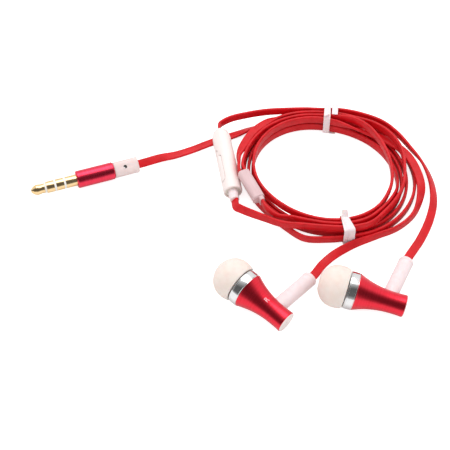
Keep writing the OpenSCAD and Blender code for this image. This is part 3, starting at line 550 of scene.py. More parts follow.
def flat_cord(name, points, nodes):
    route = smooth_route(points)
    section = cord_section()
    rings = []
    for i, p in enumerate(route):
        a, b = route[max(0, i - 1)].xyz, route[min(len(route) - 1, i + 1)].xyz
        across, through = strip_axes((b - a).normalized(), (0, 0, 1), radians(p[3]))
        rings.append([p.xyz + x * across + y * through for x, y in section])
    obj = skin(name, rings, sharp=50, with_uv=True)
    finish_piece(obj, JACKET, "cord_jacket", *nodes)


# ---- materials
EVEN = (1, 1, 1)


def add_node(tree, kind, feeds=(), **settings):
    """A shader node and its settings; feeds gives its inputs, by place or by name, a socket
    or a value."""
    made = tree.nodes.new("ShaderNode" + kind)
    for key, value in settings.items():
        setattr(made, key, value)
    for key, feed in feeds.items() if isinstance(feeds, dict) else enumerate(feeds):
        if isinstance(feed, bpy.types.NodeSocket):
            tree.links.new(feed, made.inputs[key])
        elif feed is not None:
            made.inputs[key].default_value = feed
    return made


def principled(name, roughness, metallic=0.0, for_solids=False, **sockets):
    """A material whose uniform values sit on the shader's own sockets."""
    mat = bpy.data.materials.new(name)
    mat.use_nodes = True
    mat["for_solids"] = for_solids
    shader = mat.node_tree.nodes["Principled BSDF"]
    shader.inputs["Roughness"].default_value = roughness
    shader.inputs["Metallic"].default_value = metallic
    for socket, value in sockets.items():
        shader.inputs[socket.replace("_", " ")].default_value = value
    return mat


def drive(mat, socket, name):
    """Leads a socket into the named input of the material's shader."""
    mat.node_tree.links.new(socket, mat.node_tree.nodes["Principled BSDF"].inputs[name])


def coordinates(mat, stretch=EVEN, along_cord=False):
    """The piece's own space in millimetres, stretched; or its UV, for a cord."""
    tree, scale = mat.node_tree, 1 / MM
    if along_cord:
        source, scale = add_node(tree, "TexCoord").outputs["UV"], 1
    elif mat["for_solids"]:
        source = add_node(tree, "TexCoord").outputs["Object"]
    else:
        source = add_node(tree, "Attribute", attribute_name=OWN_SPACE).outputs["Vector"]
    feeds = {"Vector": source, "Scale": [s * scale for s in stretch]}
    return add_node(tree, "Mapping", feeds).outputs["Vector"]


def noise_of(mat, vector, scale, detail=3.0, roughness=0.55):
    feeds = {"Vector": vector, "Scale": scale, "Detail": detail, "Roughness": roughness}
    return add_node(mat.node_tree, "TexNoise", feeds).outputs["Fac"]


def colours(mat, factor, low, high, at=(0.35, 0.65)):
    """Base colour between two colours as factor rises through the range at."""
    ramp = add_node(mat.node_tree, "ValToRGB", [factor])
    for stop, place, colour in zip(ramp.color_ramp.elements, at, (low, high)):
        stop.position = place
        stop.color = (*colour, 1)
    drive(mat, ramp.outputs["Color"], "Base Color")


def roughness(mat, factor, low, high):
    feeds = {"Value": factor, "From Min": 0.3, "From Max": 0.7, "To Min": low, "To Max": high}
    drive(mat, add_node(mat.node_tree, "MapRange", feeds).outputs["Result"], "Roughness")


def bumps(mat, height, strength, distance):
    """Surface relief of at most distance millimetres."""
    feeds = {"Strength": strength, "Distance": distance * MM, "Height": height}
    drive(mat, add_node(mat.node_tree, "Bump", feeds).outputs["Normal"], "Normal")


def cord_jacket():
    """Extruded rubber: long faint streaks, a fine grain and slightly uneven red."""
    mat = principled("cord_jacket", 0.4, Specular_IOR_Level=0.3)
    streaks = noise_of(mat, coordinates(mat, (0.05, 60, 1), along_cord=True), 1.0, 3)
    patches = noise_of(mat, coordinates(mat), 0.35, 2)
    colours(mat, patches, (0.6, 0.004, 0.009), (0.71, 0.007, 0.014))
    roughness(mat, streaks, 0.32, 0.46)
    bumps(mat, streaks, 0.35, 0.02)
    return mat


def surface(name, low, high, rough, tint, grain, relief, marks=None, **settings):
    """A material from noises, each as (stretch, scale, detail): tint drives the colour from
    low to high, grain the roughness over the range rough, and marks, or else grain, the
    relief, which is (strength, depth in millimetres)."""
    mat = principled(name, rough[0], **settings)
    tints, grains, heights = (noise_of(mat, coordinates(mat, stretch), scale, detail)
                              for stretch, scale, detail in (tint, grain, marks or grain))
    colours(mat, tints, low, high)
    roughness(mat, grains, *rough)
    bumps(mat, heights, *relief)
    return mat


def anodised(name, low, high, rough, coat):
    """Turned and anodised aluminium: fine rings round the axis under a blasted grain."""
    return surface(name, low, high, (rough - 0.03, rough + 0.05), ((0.15, 0.15, 9), 1, 2),
                   (EVEN, 26, 2), (0.12, 0.01), metallic=1.0, Coat_Weight=coat,
                   Coat_Roughness=0.2)


def polished(name, low, high, rough, for_solids=False):
    """Plated or polished metal with faint turning rings and smears."""
    smears = ((1, 1, 0.4), 0.8, 3)
    return surface(name, low, high, (rough, rough + 0.06), smears, smears, (0.06, 0.01),
                   marks=((0.2, 0.2, 6), 1, 2), metallic=1.0, for_solids=for_solids)


def soft_rubber(name, low, high, glow):
    """Translucent pale rubber with a fine matt grain."""
    return surface(name, low, high, (0.44, 0.58), (EVEN, 0.5, 3), (EVEN, 14, 3), (0.15, 0.02),
                   Subsurface_Weight=glow, Subsurface_Scale=1.2 * MM,
                   Subsurface_Radius=(1.0, 0.6, 0.5), Specular_IOR_Level=0.35)


def moulded(name, low, high, rough, for_solids=False):
    """Injection-moulded plastic: faint flow marks and a very fine texture."""
    return surface(name, low, high, (rough - 0.04, rough + 0.06), ((1, 1, 0.3), 0.6, 3),
                   (EVEN, 10, 2), (0.12, 0.015), for_solids=for_solids)


def tie_paper():
    """Coated paper: long fibres, small creases and a dull coat."""
    mat = principled("tie_paper", 0.5, Subsurface_Weight=0.15, Subsurface_Scale=0.5 * MM)
    fibres = noise_of(mat, coordinates(mat, (2.2, 22, 1), along_cord=True), 1.0, 4)
    creases = noise_of(mat, coordinates(mat), 2.4, 4, 0.7)
    colours(mat, fibres, (0.9, 0.76, 0.78), (0.97, 0.87, 0.88), at=(0.3, 0.6))
    roughness(mat, fibres, 0.38, 0.6)
    bumps(mat, creases, 0.5, 0.05)
    return mat


def circuit_board():
    """Green solder mask over faint tracks."""
    mat = principled("circuit_board", 0.35, for_solids=True, Coat_Weight=0.3)
    tracks = add_node(mat.node_tree, "TexWave",
                      {"Vector": coordinates(mat), "Scale": 1.6, "Distortion": 2.5},
                      wave_type="BANDS", bands_direction="Z").outputs["Fac"]
    colours(mat, tracks, (0.01, 0.09, 0.035), (0.03, 0.2, 0.07), at=(0.45, 0.55))
    bumps(mat, tracks, 0.3, 0.03)
    return mat


JACKET = cord_jacket()
HORN = anodised("horn_metal", (0.84, 0.014, 0.035), (0.92, 0.024, 0.055), 0.3, 0.45)
BARREL = anodised("barrel_metal", (0.82, 0.02, 0.06), (0.9, 0.035, 0.09), 0.28, 0.5)
CHROME = polished("chrome", (0.82, 0.82, 0.83), (0.9, 0.9, 0.9), 0.06)
GOLD = polished("gold", (0.95, 0.66, 0.33), (1.0, 0.75, 0.42), 0.09)
STEEL = polished("plated_steel", (0.5, 0.5, 0.52), (0.62, 0.62, 0.64), 0.3, for_solids=True)
COPPER = polished("copper", (0.72, 0.3, 0.14), (0.82, 0.4, 0.2), 0.3, for_solids=True)
SILICONE = soft_rubber("ear_tip_silicone", (0.92, 0.76, 0.69), (0.96, 0.81, 0.745), 0.35)
RUBBER = soft_rubber("white_rubber", (0.91, 0.745, 0.755), (0.95, 0.8, 0.81), 0.2)
BLOCK_RUBBER = soft_rubber("block_rubber", (0.83, 0.67, 0.65), (0.87, 0.72, 0.7), 0.2)
PLASTIC = moulded("white_plastic", (0.93, 0.82, 0.79), (0.96, 0.86, 0.83), 0.35)
# the splitter's own pinkish tint, made darker still as painted shade where the remote shades it
SPLITTER_TINT_AND_SHADE = moulded("splitter_plastic", (0.69, 0.47, 0.48), (0.75, 0.54, 0.55), 0.4)
# warm grey: the end ring's white plastic darkened as painted shade of the remote's end recess
RECESS_PAINTED_SHADE = moulded("recess_plastic", (0.74, 0.68, 0.6), (0.82, 0.76, 0.68), 0.45)
INSULATOR = moulded("insulator", (0.9, 0.88, 0.84), (0.95, 0.93, 0.9), 0.3)
INNER = moulded("inner_plastic", (0.8, 0.8, 0.8), (0.9, 0.9, 0.9), 0.4, for_solids=True)
BLACK = moulded("black_plastic", (0.015, 0.015, 0.017), (0.04, 0.04, 0.045), 0.5, for_solids=True)
FILM = moulded("diaphragm_film", (0.78, 0.7, 0.55), (0.88, 0.82, 0.7), 0.3, for_solids=True)
PRINT = moulded("white_print", (0.85, 0.5, 0.55), (0.93, 0.62, 0.66), 0.5)
PAPER = tie_paper()
# dark woven gauze
GAUZE = surface("speaker_cloth", (0.12, 0.12, 0.13), (0.34, 0.33, 0.33), (0.3, 0.6),
                (EVEN, 12, 2), (EVEN, 12, 2), (0.2, 0.02), metallic=1.0)
BOARD = circuit_board()


# ---- earbuds
HORN_FLARE = 2.2
TIP_CURVE = 2.2


def horn_r(z):
    """The horn flares widely towards the ear tip and a little towards its back rim."""
    if z > WAIST_Z:
        share = (z - WAIST_Z) / (HORN_LEN - WAIST_Z)
        return WAIST_R + (FRONT_R - WAIST_R) * share ** HORN_FLARE
    return WAIST_R + (BACK_R - WAIST_R) * (1 - z / WAIST_Z) ** 2


def tip_profile(z):
    """The ear tip's outer radius: a dome in front of its widest place, drawn in behind."""
    if z > TIP_WIDE_Z:
        return TIP_R * sqrt(max(0, 1 - ((z - TIP_WIDE_Z) / TIP_NOSE) ** TIP_CURVE))
    return TIP_R - 0.4 * ((TIP_WIDE_Z - z) / (TIP_WIDE_Z - TIP_Z)) ** 2


def ear_tip(side, m, body):
    """Hollow umbrella of silicone with a rolled lip, a moulding step and a core tube."""
    nose_z = TIP_WIDE_Z + TIP_NOSE * 0.91
    root_z = nose_z - 2
    bore = NOZZLE_R + 0.2
    steps = 44
    outside = []
    for i in range(steps + 1):
        z = TIP_Z + 0.25 + (nose_z - TIP_Z - 0.25) * sin(pi / 2 * i / steps)
        outside.append((tip_profile(z), z))
    edge = tip_profile(TIP_Z)
    skirt = [(edge - TIP_WALL + 0.12, TIP_Z + 0.02), (edge - 0.5, TIP_Z - 0.02),
             (edge - 0.2, TIP_Z - 0.02), (edge - 0.05, TIP_Z + 0.06)]
    end = tip_profile(nose_z)
    mouth = rounded([(end, nose_z), (end - 0.42, nose_z + 0.25, 0.25), (bore - 0.5, nose_z, 0.12),
                     (bore - 0.5, NOZZLE_Z + 0.4, 0.1), (bore, NOZZLE_Z + 0.4), (bore, TIP_Z, 0.1),
                     (bore + 0.8, TIP_Z, 0.1), (bore + 0.8, root_z)], closed=False)[1:]
    inside = []
    for i in range(16, -1, -1):
        z = TIP_Z + 0.12 + (root_z - TIP_Z - 0.12) * i / 16
        inside.append((tip_profile(z + TIP_WALL * 0.9) - TIP_WALL, z))
    turned(side + "_tip", skirt + outside + mouth + inside, m, SILICONE, "ear_tip_silicone",
           side + "_ear_tip", body=body, closed=True)


def horn(side, m):
    """Anodised horn with bright-cut chamfers at both rims."""
    steps = 48
    cut = 0.14
    outside = [(BACK_R - 0.16, 0), (BACK_R - 0.03, 0.08), (horn_r(0.25), 0.25)]
    outside += [(horn_r(HORN_LEN * i / steps), HORN_LEN * i / steps) for i in range(2, steps)]
    outside += [(FRONT_R - 0.03, HORN_LEN - cut), (FRONT_R - cut, HORN_LEN)]
    seat_z = HORN_LEN - 2.1
    inside = [(DRIVER_R + 0.05, HORN_LEN), (DRIVER_R + 0.05, seat_z)]
    for i in range(14, -1, -1):
        z = REAR_T + (seat_z - REAR_T) * i / 14
        inside.append((horn_r(z) - 1, z))
    inside += [(CAP_HOLE_R, REAR_T), (CAP_HOLE_R, 0)]
    turned(side + "_horn", outside + inside, m, HORN, "horn_metal",
           side + "_housing", closed=True, segments=192, sharp=24)


def chrome_ring(side, m):
    """Bright ring with a stepped foot on the horn and a fine groove near its front."""
    z0, z1 = HORN_LEN, HORN_LEN + BEZEL_LEN
    groove = z1 - 0.32
    profile = rounded([
        (FRONT_R - 0.8, z0), (BEZEL_R - 0.14, z0), (BEZEL_R - 0.14, z0 + 0.1),
        (BEZEL_R, z0 + 0.22, 0.05), (BEZEL_R, groove - 0.16, 0.04),
        (BEZEL_R - 0.1, groove - 0.08), (BEZEL_R - 0.1, groove),
        (BEZEL_R - 0.04, groove + 0.06, 0.03), (BEZEL_R - 0.04, z1, 0.16),
        (FRONT_R - 1.4, z1, 0.1), (FRONT_R - 1.4, z1 - 0.6), (FRONT_R - 0.8, z1 - 0.6)], steps=4)
    turned(side + "_ring", profile, m, CHROME, "chrome_ring", side + "_bezel",
           closed=True, segments=192)


def rear_cap(side, m):
    """Domed plug in the horn's back, with a stepped rim and a small vent."""
    r = BACK_R - 0.2
    profile = rounded([
        (0.3, 0.2), (0.3, 0.06 - CAP_T, 0.05), (r - 0.8, -CAP_T, 0.03), (r - 0.73, 0.08 - CAP_T),
        (r - 0.59, 0.08 - CAP_T), (r - 0.52, -CAP_T, 0.03), (r, -CAP_T, 0.15), (r, 0),
        (CAP_HOLE_R - 0.05, 0), (CAP_HOLE_R - 0.05, REAR_T), (0, REAR_T)], closed=False)
    turned(side + "_cap", [(0, 0.2)] + profile, m, PLASTIC, "white_plastic",
           side + "_rear_cap", segments=128)


def soft_boot(side, m, boot):
    """Rubber sleeve that saddles the horn, with an end collar and the cord's slot."""
    end = BOOT_REACH
    collar = end - 1.15
    waist = BOOT_R - 0.06
    profile = rounded([
        (0, 2), (waist, 2), (waist, 6.4, 0.3), (BOOT_R - 0.03, collar - 0.14),
        (BOOT_R - 0.12, collar - 0.05), (BOOT_R - 0.12, collar + 0.03),
        (BOOT_R, collar + 0.12, 0.03), (BOOT_R, end, 0.38), (0, end)], closed=False)
    obj = lathe(side + "_sleeve", profile, boot, segments=96)
    carve(obj, [cord_slot(boot, end)])
    ease_edges(obj, 0.06, 2)
    steps = [HORN_LEN * i / 40 for i in range(41)]
    saddle = [(0, 0)] + [(horn_r(z), z) for z in steps] + [(0, HORN_LEN)]
    carve(obj, [lathe("cutter", saddle, m, segments=192)])
    finish_piece(obj, RUBBER, "white_rubber", side + "_boot")


def gauze(side, m):
    """Woven cloth over the sound tube's bore."""
    reach, pitch, wire = 1.78, 0.24, 0.05
    z = NOZZLE_Z - 0.35
    count = int(reach / pitch)
    verts, faces = [], []
    for way in (0, 1):
        for i in range(-count, count + 1):
            across = i * pitch
            half = sqrt(reach ** 2 - across ** 2)
            steps = max(2, round(2 * half / 0.12))
            for k in range(steps + 1):
                along = -half + 2 * half * k / steps
                lift = wire * cos(pi * (along / pitch + i + way))
                for j in range(5):
                    a = 2 * pi * j / 5
                    p = (along, across + wire * cos(a), z + lift + wire * sin(a))
                    verts.append(p if way == 0 else (p[1], p[0], p[2]))
                if k:
                    base = len(verts) - 10
                    faces += [(base + j, base + (j + 1) % 5, base + 5 + (j + 1) % 5, base + 5 + j)
                              for j in range(5)]
    obj = add_mesh(side + "_gauze", verts, faces, m, sharp=60)
    finish_piece(obj, GAUZE, "mesh_cloth", side + "_acoustic_mesh")


def letter(side, m, text, start):
    """The ear's letter, printed on the horn; its top points at the ear tip."""
    size, middle_z, proud = 1.95, 7.4, 0.012
    curve = bpy.data.curves.new("letter", "FONT")
    curve.body = text
    curve.size = size
    curve.align_x = "CENTER"
    curve.align_y = "CENTER"
    typed = new_object("letter", curve)
    flat = shaped_mesh(typed)
    bpy.data.objects.remove(typed)
    work = bmesh.new()
    work.from_mesh(flat)
    bmesh.ops.triangulate(work, faces=work.faces)
    bmesh.ops.subdivide_edges(work, edges=work.edges, cuts=1)
    bmesh.ops.triangulate(work, faces=work.faces)
    verts = []
    for v in work.verts:
        z = middle_z + v.co.y
        r = horn_r(z) + proud
        a = radians(start) + v.co.x / r
        verts.append((r * cos(a), r * sin(a), z))
    work.verts.index_update()
    faces = [[v.index for v in f.verts] for f in work.faces]
    work.free()
    obj = add_mesh(side + "_letter", verts, faces, m)
    finish_piece(obj, PRINT, "white_plastic")


def earbud(side, bud, text, start, tip_body=BODY):
    m = bud_matrix(bud)
    ear_tip(side, m, tip_body)
    horn(side, m)
    chrome_ring(side, m)
    rear_cap(side, m)
    soft_boot(side, m, boot_matrix(bud))
    gauze(side, m)
    letter(side, m, text, start)


# ---- plug
def plug_pieces():
    """Gold poles between white insulators, a barrel and a soft block with a hole whose black
    lining is painted shade.
    """
    made = []
    tip_end, gap, pole, inner = 4.1, 0.55, 2.4, 0.8
    starts = [tip_end + i * (gap + pole) for i in range(3)]

    def contact(name, profile, *nodes, closed=True):
        made.append(turned(name, profile, PLUG, GOLD, "gold_plating", *nodes, closed=closed,
                           segments=96))

    tip = rounded([(0, 0), (0.5, 0, 0.12), (1.2, 0.75, 0.3), (1.57, 1.6, 0.3), (1.6, 2.2, 0.3),
                   (1.42, 3.2, 0.5), (1.48, tip_end, 0.06), (inner, tip_end)], closed=False)
    contact("pin_tip", tip, "plug_tip", closed=False)
    for i in range(2):
        z = starts[i] + gap
        ring = rounded([(inner, z), (PIN_R, z, 0.06), (PIN_R, z + pole, 0.06), (inner, z + pole)])
        contact(f"pin_ring_{i + 1}", ring, f"plug_ring_{i + 1}")
    z, end = starts[2] + gap, PIN_LEN - 0.15
    sleeve = rounded([(inner, z), (PIN_R, z, 0.06), (PIN_R, end, 0.04), (PIN_R - 0.25, end),
                      (PIN_R - 0.25, PIN_LEN + 0.4), (inner, PIN_LEN + 0.4)])
    contact("pin_sleeve", sleeve, "plug_sleeve")
    for i, z in enumerate(starts):
        r = PIN_R - (0.25 if i == 0 else 0.03)
        profile = rounded([(inner, z), (r, z), (r, z + gap), (inner, z + gap)])
        nodes = ["plug_insulators"] if i == 0 else []
        made.append(turned(f"pin_insulator_{i + 1}", profile, PLUG, INSULATOR, "insulator",
                           *nodes, closed=True, segments=96))
    z0, z1, cut = PIN_LEN, PIN_LEN + BARREL_LEN, BARREL_R - 0.3
    barrel = rounded([(PIN_R - 0.2, z0), (cut, z0, 0.05), (BARREL_R, z0 + 0.3, 0.08),
                      (BARREL_R, z1 - 0.3, 0.08), (cut, z1, 0.05), (BARREL_R - 0.4, z1),
                      (BARREL_R - 0.4, z0 + 1), (PIN_R - 0.2, z0 + 1)])
    made.append(turned("plug_grip", barrel, PLUG, BARREL, "barrel_metal", "plug_barrel",
                       closed=True, segments=160, sharp=28))
    return made + plug_block()


def plug_block():
    """Soft block with rounded ends, a hole through it whose black lining is painted shade of its
    deep inside, and the cord's slot.
    """
    high, wide, power, reach = 2.0, 2.4, 2.7, 0.25
    start = PIN_LEN + BARREL_LEN
    end = start + PLUG_BOOT_LEN
    ease = eased_end(0.32, 4)
    rows = [(start + z, high - i, wide - i, power) for z, i in ease]
    rows += [(end - z, high - i, wide - i, power) for z, i in ease[::-1]]
    obj = loft("plug_block", rows, PLUG)
    hole_axis = PLUG @ shift((0, 0, start + PLUG_BOOT_LEN * 0.45)) @ turn("Y", 90)
    hole, bore = 0.55, 0.42
    lining = rounded([(bore, reach - high), (hole, reach - high), (hole, high - reach),
                      (bore, high - reach)])
    # black lining in the hole: painted shade that darkens its walls as the deep inside of the hole
    # would
    hole_shade = turned("plug_eyelet", lining, hole_axis, BLACK, "insulator", closed=True, segments=48)
    carve(obj, [bar(hole, 4 * high, hole_axis), cord_slot(PLUG, end)])
    ease_edges(obj, 0.07, 2, 50)
    return [finish_piece(obj, BLOCK_RUBBER, "white_rubber", "plug_boot"), hole_shade]


# ---- remote and splitter
def oval(name, wide, long, x0, x1, matrix, segments=24):
    """Bar with round ends, long along Z, from x0 to x1."""
    r, half = wide / 2, (long - wide) / 2
    outline = []
    for k in range(segments + 1):
        a = pi * k / segments
        outline.append((r * cos(a), half + r * sin(a)))
    outline += [(-y, -z) for y, z in outline]
    return skin(name, [[(x, y, z) for y, z in outline] for x in (x0, x1)], matrix)


def remote():
    """Round inline remote: shell with a nose, long key, microphone hole and strain relief."""
    bore, recess = REMOTE_R - 0.5, 0.3
    z1 = REMOTE_LEN - NOSE_LEN
    steps = 20
    nose = []
    for i in range(steps):
        k = sin(pi / 2 * i / steps)
        nose.append((NOSE_R + (REMOTE_R - NOSE_R) * sqrt(1 - k * k), z1 + NOSE_LEN * k))
    profile = rounded([(0, z1 + 0.5), (bore, z1 + 0.5), (bore, 0, 0.06), (REMOTE_R - 0.1, 0, 0.12),
                       (REMOTE_R, 0.3, 0.15)] + nose
                      + [(NOSE_R, REMOTE_LEN - 0.35), (NOSE_R, REMOTE_LEN, 0.25), (0, REMOTE_LEN)],
                      closed=False)
    shell = lathe("remote_body", profile, REMOTE, segments=128)
    around = REMOTE @ turn("Z", BUTTON_TURN) @ shift((0, 0, BUTTON_Z))
    gap = 0.36
    opening = oval("cutter", BUTTON_W + gap, BUTTON_LEN + gap, 0, REMOTE_R * 2, around)
    ear = bar(0.35, 6, around @ shift((3, 0, BUTTON_LEN / 2 + 2)) @ turn("Y", 90), 32)
    carve(shell, [opening, ear, cord_slot(REMOTE, REMOTE_LEN, wide_along_y=False)], sharp=28)
    ease_edges(shell, 0.05, 2, 50)
    finish_piece(shell, PLASTIC, "white_plastic", "remote_shell")

    inner, ring_end = 1.56, recess + 1.4
    ring = rounded([(inner, recess), (bore - 0.03, recess, 0.05), (bore - 0.03, ring_end),
                    (inner, ring_end)])
    # the ring's darker colour is painted shade of the recess it sits in
    turned("remote_recess", ring, REMOTE, RECESS_PAINTED_SHADE, "white_plastic", "remote_end_ring",
           closed=True)
    neck = rounded([(0, -RELIEF_LEN), (1.42, -RELIEF_LEN, 0.12), (1.5, -0.4, 0.3),
                    (1.5, ring_end + 0.4), (0, ring_end + 0.4)], closed=False)
    turned("remote_neck", neck, REMOTE, RUBBER, "white_rubber", "remote_relief", segments=96)

    key = oval("remote_key", BUTTON_W, BUTTON_LEN, bore - 0.9, REMOTE_R + 1, around)
    carve(key, [bar(REMOTE_R + 0.13, 2 * REMOTE_LEN, REMOTE, 192)], "INTERSECT", sharp=50)
    ease_edges(key, 0.12, 4, 50)
    finish_piece(key, PLASTIC, "white_plastic", "remote_button", body="button")


def splitter():
    """Two moulded halves with a fine seam, a stub for the plug cord and two ports."""
    high, wide, power, seam = SPLITTER_T / 2, SPLITTER_W / 2, 3.4, 0.03
    rows = [(1.2, high - 0.4, wide - 0.4, 3.2)]
    rows += [(1.35 + z, high - i, wide - i, power) for z, i in eased_end(0.3, 5)]
    rows += [(SPLITTER_LEN - z, high - i, wide - i, power) for z, i in eased_end(0.2, 5)[::-1]]
    inside = SPLITTER_LEN - 4.8
    for side, name in ((-1, "upper"), (1, "lower")):
        half = loft("splitter_half_" + name, rows, SPLITTER, segments=96)
        stub = loft("cutter", [(0, 1.28, 0.63, 5), (0.12, 1.4, 0.75, 5), (1.5, 1.4, 0.75, 5)],
                    SPLITTER @ shift((0, -TAIL_PORT, 0)))
        carve(half, [stub], "UNION")
        ports = [cord_slot(SPLITTER, SPLITTER_LEN, y * BRANCH_GAP, False) for y in (-1, 1)]
        heart = box((1.9, 2.3, inside), SPLITTER @ shift((0, 0, 2.9 + inside / 2)))
        away = box((10, 20, 40), SPLITTER @ shift((-side * (5 - seam), 0, 0)))
        carve(half, ports + [heart, away])
        ease_edges(half, 0.05, 2, 55)
        # its darker pink is partly its own tint and partly painted shade
        finish_piece(half, SPLITTER_TINT_AND_SHADE, "white_plastic", "splitter_" + name)


# ---- twist ties
def inner_r(phase):
    return oval_r(phase) - CORD_T / 2


def bundle_top(layer):
    return level(layer) + CORD_W / 2 + 0.12


def at_phase(phase):
    return shift((COIL_X, COIL_Y, 0)) @ turn("Z", 180 - phase)


def even(points, step, closed):
    """The same polyline with extra points, at most step apart."""
    made = []
    pairs = zip(points, points[1:] + (points[:1] if closed else []))
    for a, b in pairs:
        a, b = Vector(a), Vector(b)
        count = max(1, ceil((b - a).length / step))
        made += [a + (b - a) * k / count for k in range(count)]
    if not closed:
        made.append(Vector(points[-1]))
    return made


PAPER_T = 0.09
WIRE_T = 0.19
TIE_STEP = 0.35


def paper_strip(name, path, wide, paper, wire, matrix, closed, seed, wobble=0.05, twist=0.0):
    """Paper ribbon along a path, its width along Y, with a wire down its middle; paper and
    wire are their half thicknesses."""
    half = [0.1, 0.2, 0.32, 0.5, wide / 2 - 0.06, wide / 2]
    xs = [-x for x in half[::-1]] + [0] + half
    upper = []
    for x in xs:
        edge = 0.35 if abs(x) > wide / 2 - 0.01 else 1
        upper.append((x, paper * edge + (wire - paper) * exp(-(x / 0.2) ** 2)))
    outline = upper + [(x, -y) for x, y in upper[::-1]]
    n = len(path)
    rings = []
    for i, p in enumerate(path):
        ahead = path[(i + 1) % n] if closed or i < n - 1 else path[i]
        back = path[i - 1] if closed or i else path[i]
        lean = twist * i / max(1, n - 1)
        normal, side = strip_axes((ahead - back).normalized(), (0, 1, 0), -lean)
        ring = []
        for x, y in outline:
            spot = p + side * x + normal * y
            ripple = noise.noise(Vector((spot.x * 0.9 + seed, spot.y * 1.3, spot.z * 0.9)))
            ring.append(spot + normal * wobble * ripple * (0.4 + abs(x)))
        rings.append(ring)
    return skin(name, rings, matrix, closed=closed, sharp=60, with_uv=True)


def around_bundle(x0, x1, high, offset):
    """Path of a strap round a bundle, offset outwards from its inner opening."""
    r = 0.4 + offset
    x0, x1, low, high = x0 - offset, x1 + offset, TIE_T + LIFT - offset, high + offset
    ring = rounded([(x0, low, r), (x0, high, r), (x1, high, r), (x1, low, r)])
    return even([(x, 0, z) for x, z in ring], TIE_STEP, True)


def merged(name, pieces):
    """Joins pieces that share one matrix into one object."""
    work = bmesh.new()
    for piece in pieces:
        work.from_mesh(piece.data)
    work.to_mesh(pieces[0].data)
    work.free()
    for piece in pieces[1:]:
        bpy.data.objects.remove(piece)
    pieces[0].name = name
    smooth(pieces[0], 60)
    return pieces[0]


def tail_strip(x, z, lean, wide, long, matrix, seed, twist):
    """Free end of a tie, leaning by lean and curling over."""
    a = radians(lean)
    path = [Vector((x - sin(a) * s - 0.15 * s * s / long, wide * 0.1, z + cos(a) * s))
            for s in (long * k / 10 for k in range(11))]
    return paper_strip("tail", path, wide, 0.08, 0.18, matrix, False, seed, 0.04, twist)


def top_tie():
    """A turn round the bundle, a second, open turn beside it, and one free end."""
    a = inner_r(TOP_TIE_PHASE) - 0.15
    b = a + 3.3 * LANE + CORD_T
    top, high = bundle_top(1.2), bundle_top(1.36) + 0.2
    m = at_phase(TOP_TIE_PHASE)
    loop = paper_strip("loop", around_bundle(a - TIE_GAP, b + TIE_GAP, top, TIE_T / 2), TIE_W,
                       PAPER_T, WIRE_T, m, True, 3.1)
    low, outer = LIFT + 0.2, b + 0.4 + TIE_GAP
    open_turn = rounded([(a - TIE_GAP, low), (outer, low, 0.6), (outer, high, 0.6),
                         (a + 0.95, high)], closed=False)
    path = even([(x, 0, z) for x, z in open_turn], TIE_STEP, False)
    for p in path:
        p.y = -TIE_W - 0.3 + 0.35 * max(0, 1 - (p.x - a) / (b - a)) * (1 if p.z < 1 else 0)
    second = paper_strip("second", path, TIE_W - 0.2, PAPER_T, WIRE_T, m, False, 8.3)
    tail = tail_strip(a + 0.7, top + TIE_T - 0.3, 35, TIE_W * 0.8, 1.8, m, 5.5, 0.5)
    link = paper_strip("link", [Vector((a + 0.3 + 0.25 * k, -0.9 - 0.12 * k, low))
                                for k in range(8)], TIE_W * 0.8, PAPER_T, 0.12, m, False, 1.2, 0)
    obj = merged("tie_top", [loop, second, tail, link])
    finish_piece(obj, PAPER, "tie_paper", "twist_tie_top")


def bottom_tie():
    """Two turns that cross each other over the bundle, and one free end."""
    a = inner_r(BOTTOM_TIE_PHASE) - 0.2
    b = a + 2.6 * LANE + CORD_T + 0.9
    top = bundle_top(1)
    mid = (a + b) / 2
    m = at_phase(BOTTOM_TIE_PHASE)
    pieces = []
    for s, lift in ((-1, 0.1), (1, 0.3)):
        lean = shift((mid, 0, 0)) @ turn("Z", 7 * s) @ shift((-mid, 0.3 * s, 0))
        path = [lean @ p for p in around_bundle(a - TIE_GAP, b + TIE_GAP, top, lift)]
        pieces.append(paper_strip("loop", path, TIE_W, 0.06, 0.1, m, True, 4.7 + s))
    pieces.append(tail_strip(a + 0.7, top + TIE_T - 0.3, 30, TIE_W * 0.9, 2.2, m, 9.9, -0.45))
    obj = merged("tie_bottom", pieces)
    finish_piece(obj, PAPER, "tie_paper", "twist_tie_bottom")


# ---- stage
FLOOR_HALF = 1500
FLOOR_WHITE = 0.8
FLOOR_GLOW = 0.78
FLOOR_SHINE = 0.15
SKY_FILL = 0.88
# What mirrors see, as (angle, brightness): 0 is the front horizon, 90 the top, 180 the back.
MIRRORED_SKY = ((0, 0.5), (8, 0.32), (20, 0.12), (62, 0.1), (72, 0.22), (82, 0.4), (92, 0.7),
                (105, 0.95), (180, 0.85))
SOFTBOX_POWER = 0.7
SOFTBOX_SIZE = (0.36, 0.32)
SOFTBOX_ANGLE = 111
SOFTBOX_AWAY = 0.42
MIDDLE = Vector((-0.02, 0.03, 0.005))


def emptied(owner):
    owner.use_nodes = True
    owner.node_tree.nodes.clear()
    return owner.node_tree


def make_floor():
    """Pale floor with soft shadows that reads as white to the camera and glows a little to
    mirrors."""
    far = FLOOR_HALF
    corners = [(-far, -far, 0), (far, -far, 0), (far, far, 0), (-far, far, 0)]
    floor = add_mesh("floor", corners, [(0, 1, 2, 3)])
    mat = bpy.data.materials.new("floor")
    tree = emptied(mat)
    plain = add_node(tree, "BsdfDiffuse", [(FLOOR_WHITE,) * 3 + (1,)]).outputs[0]
    glow = add_node(tree, "Emission", {"Strength": FLOOR_GLOW}).outputs[0]
    bright = add_node(tree, "AddShader", [plain, glow]).outputs[0]
    rays = add_node(tree, "LightPath").outputs
    share = add_node(tree, "Math", [rays["Is Glossy Ray"], FLOOR_SHINE, rays["Is Camera Ray"]],
                     operation="MULTIPLY_ADD")
    seen = add_node(tree, "MixShader", [share.outputs[0], plain, bright])
    add_node(tree, "OutputMaterial", {"Surface": seen.outputs[0]})
    floor.data.materials.append(mat)


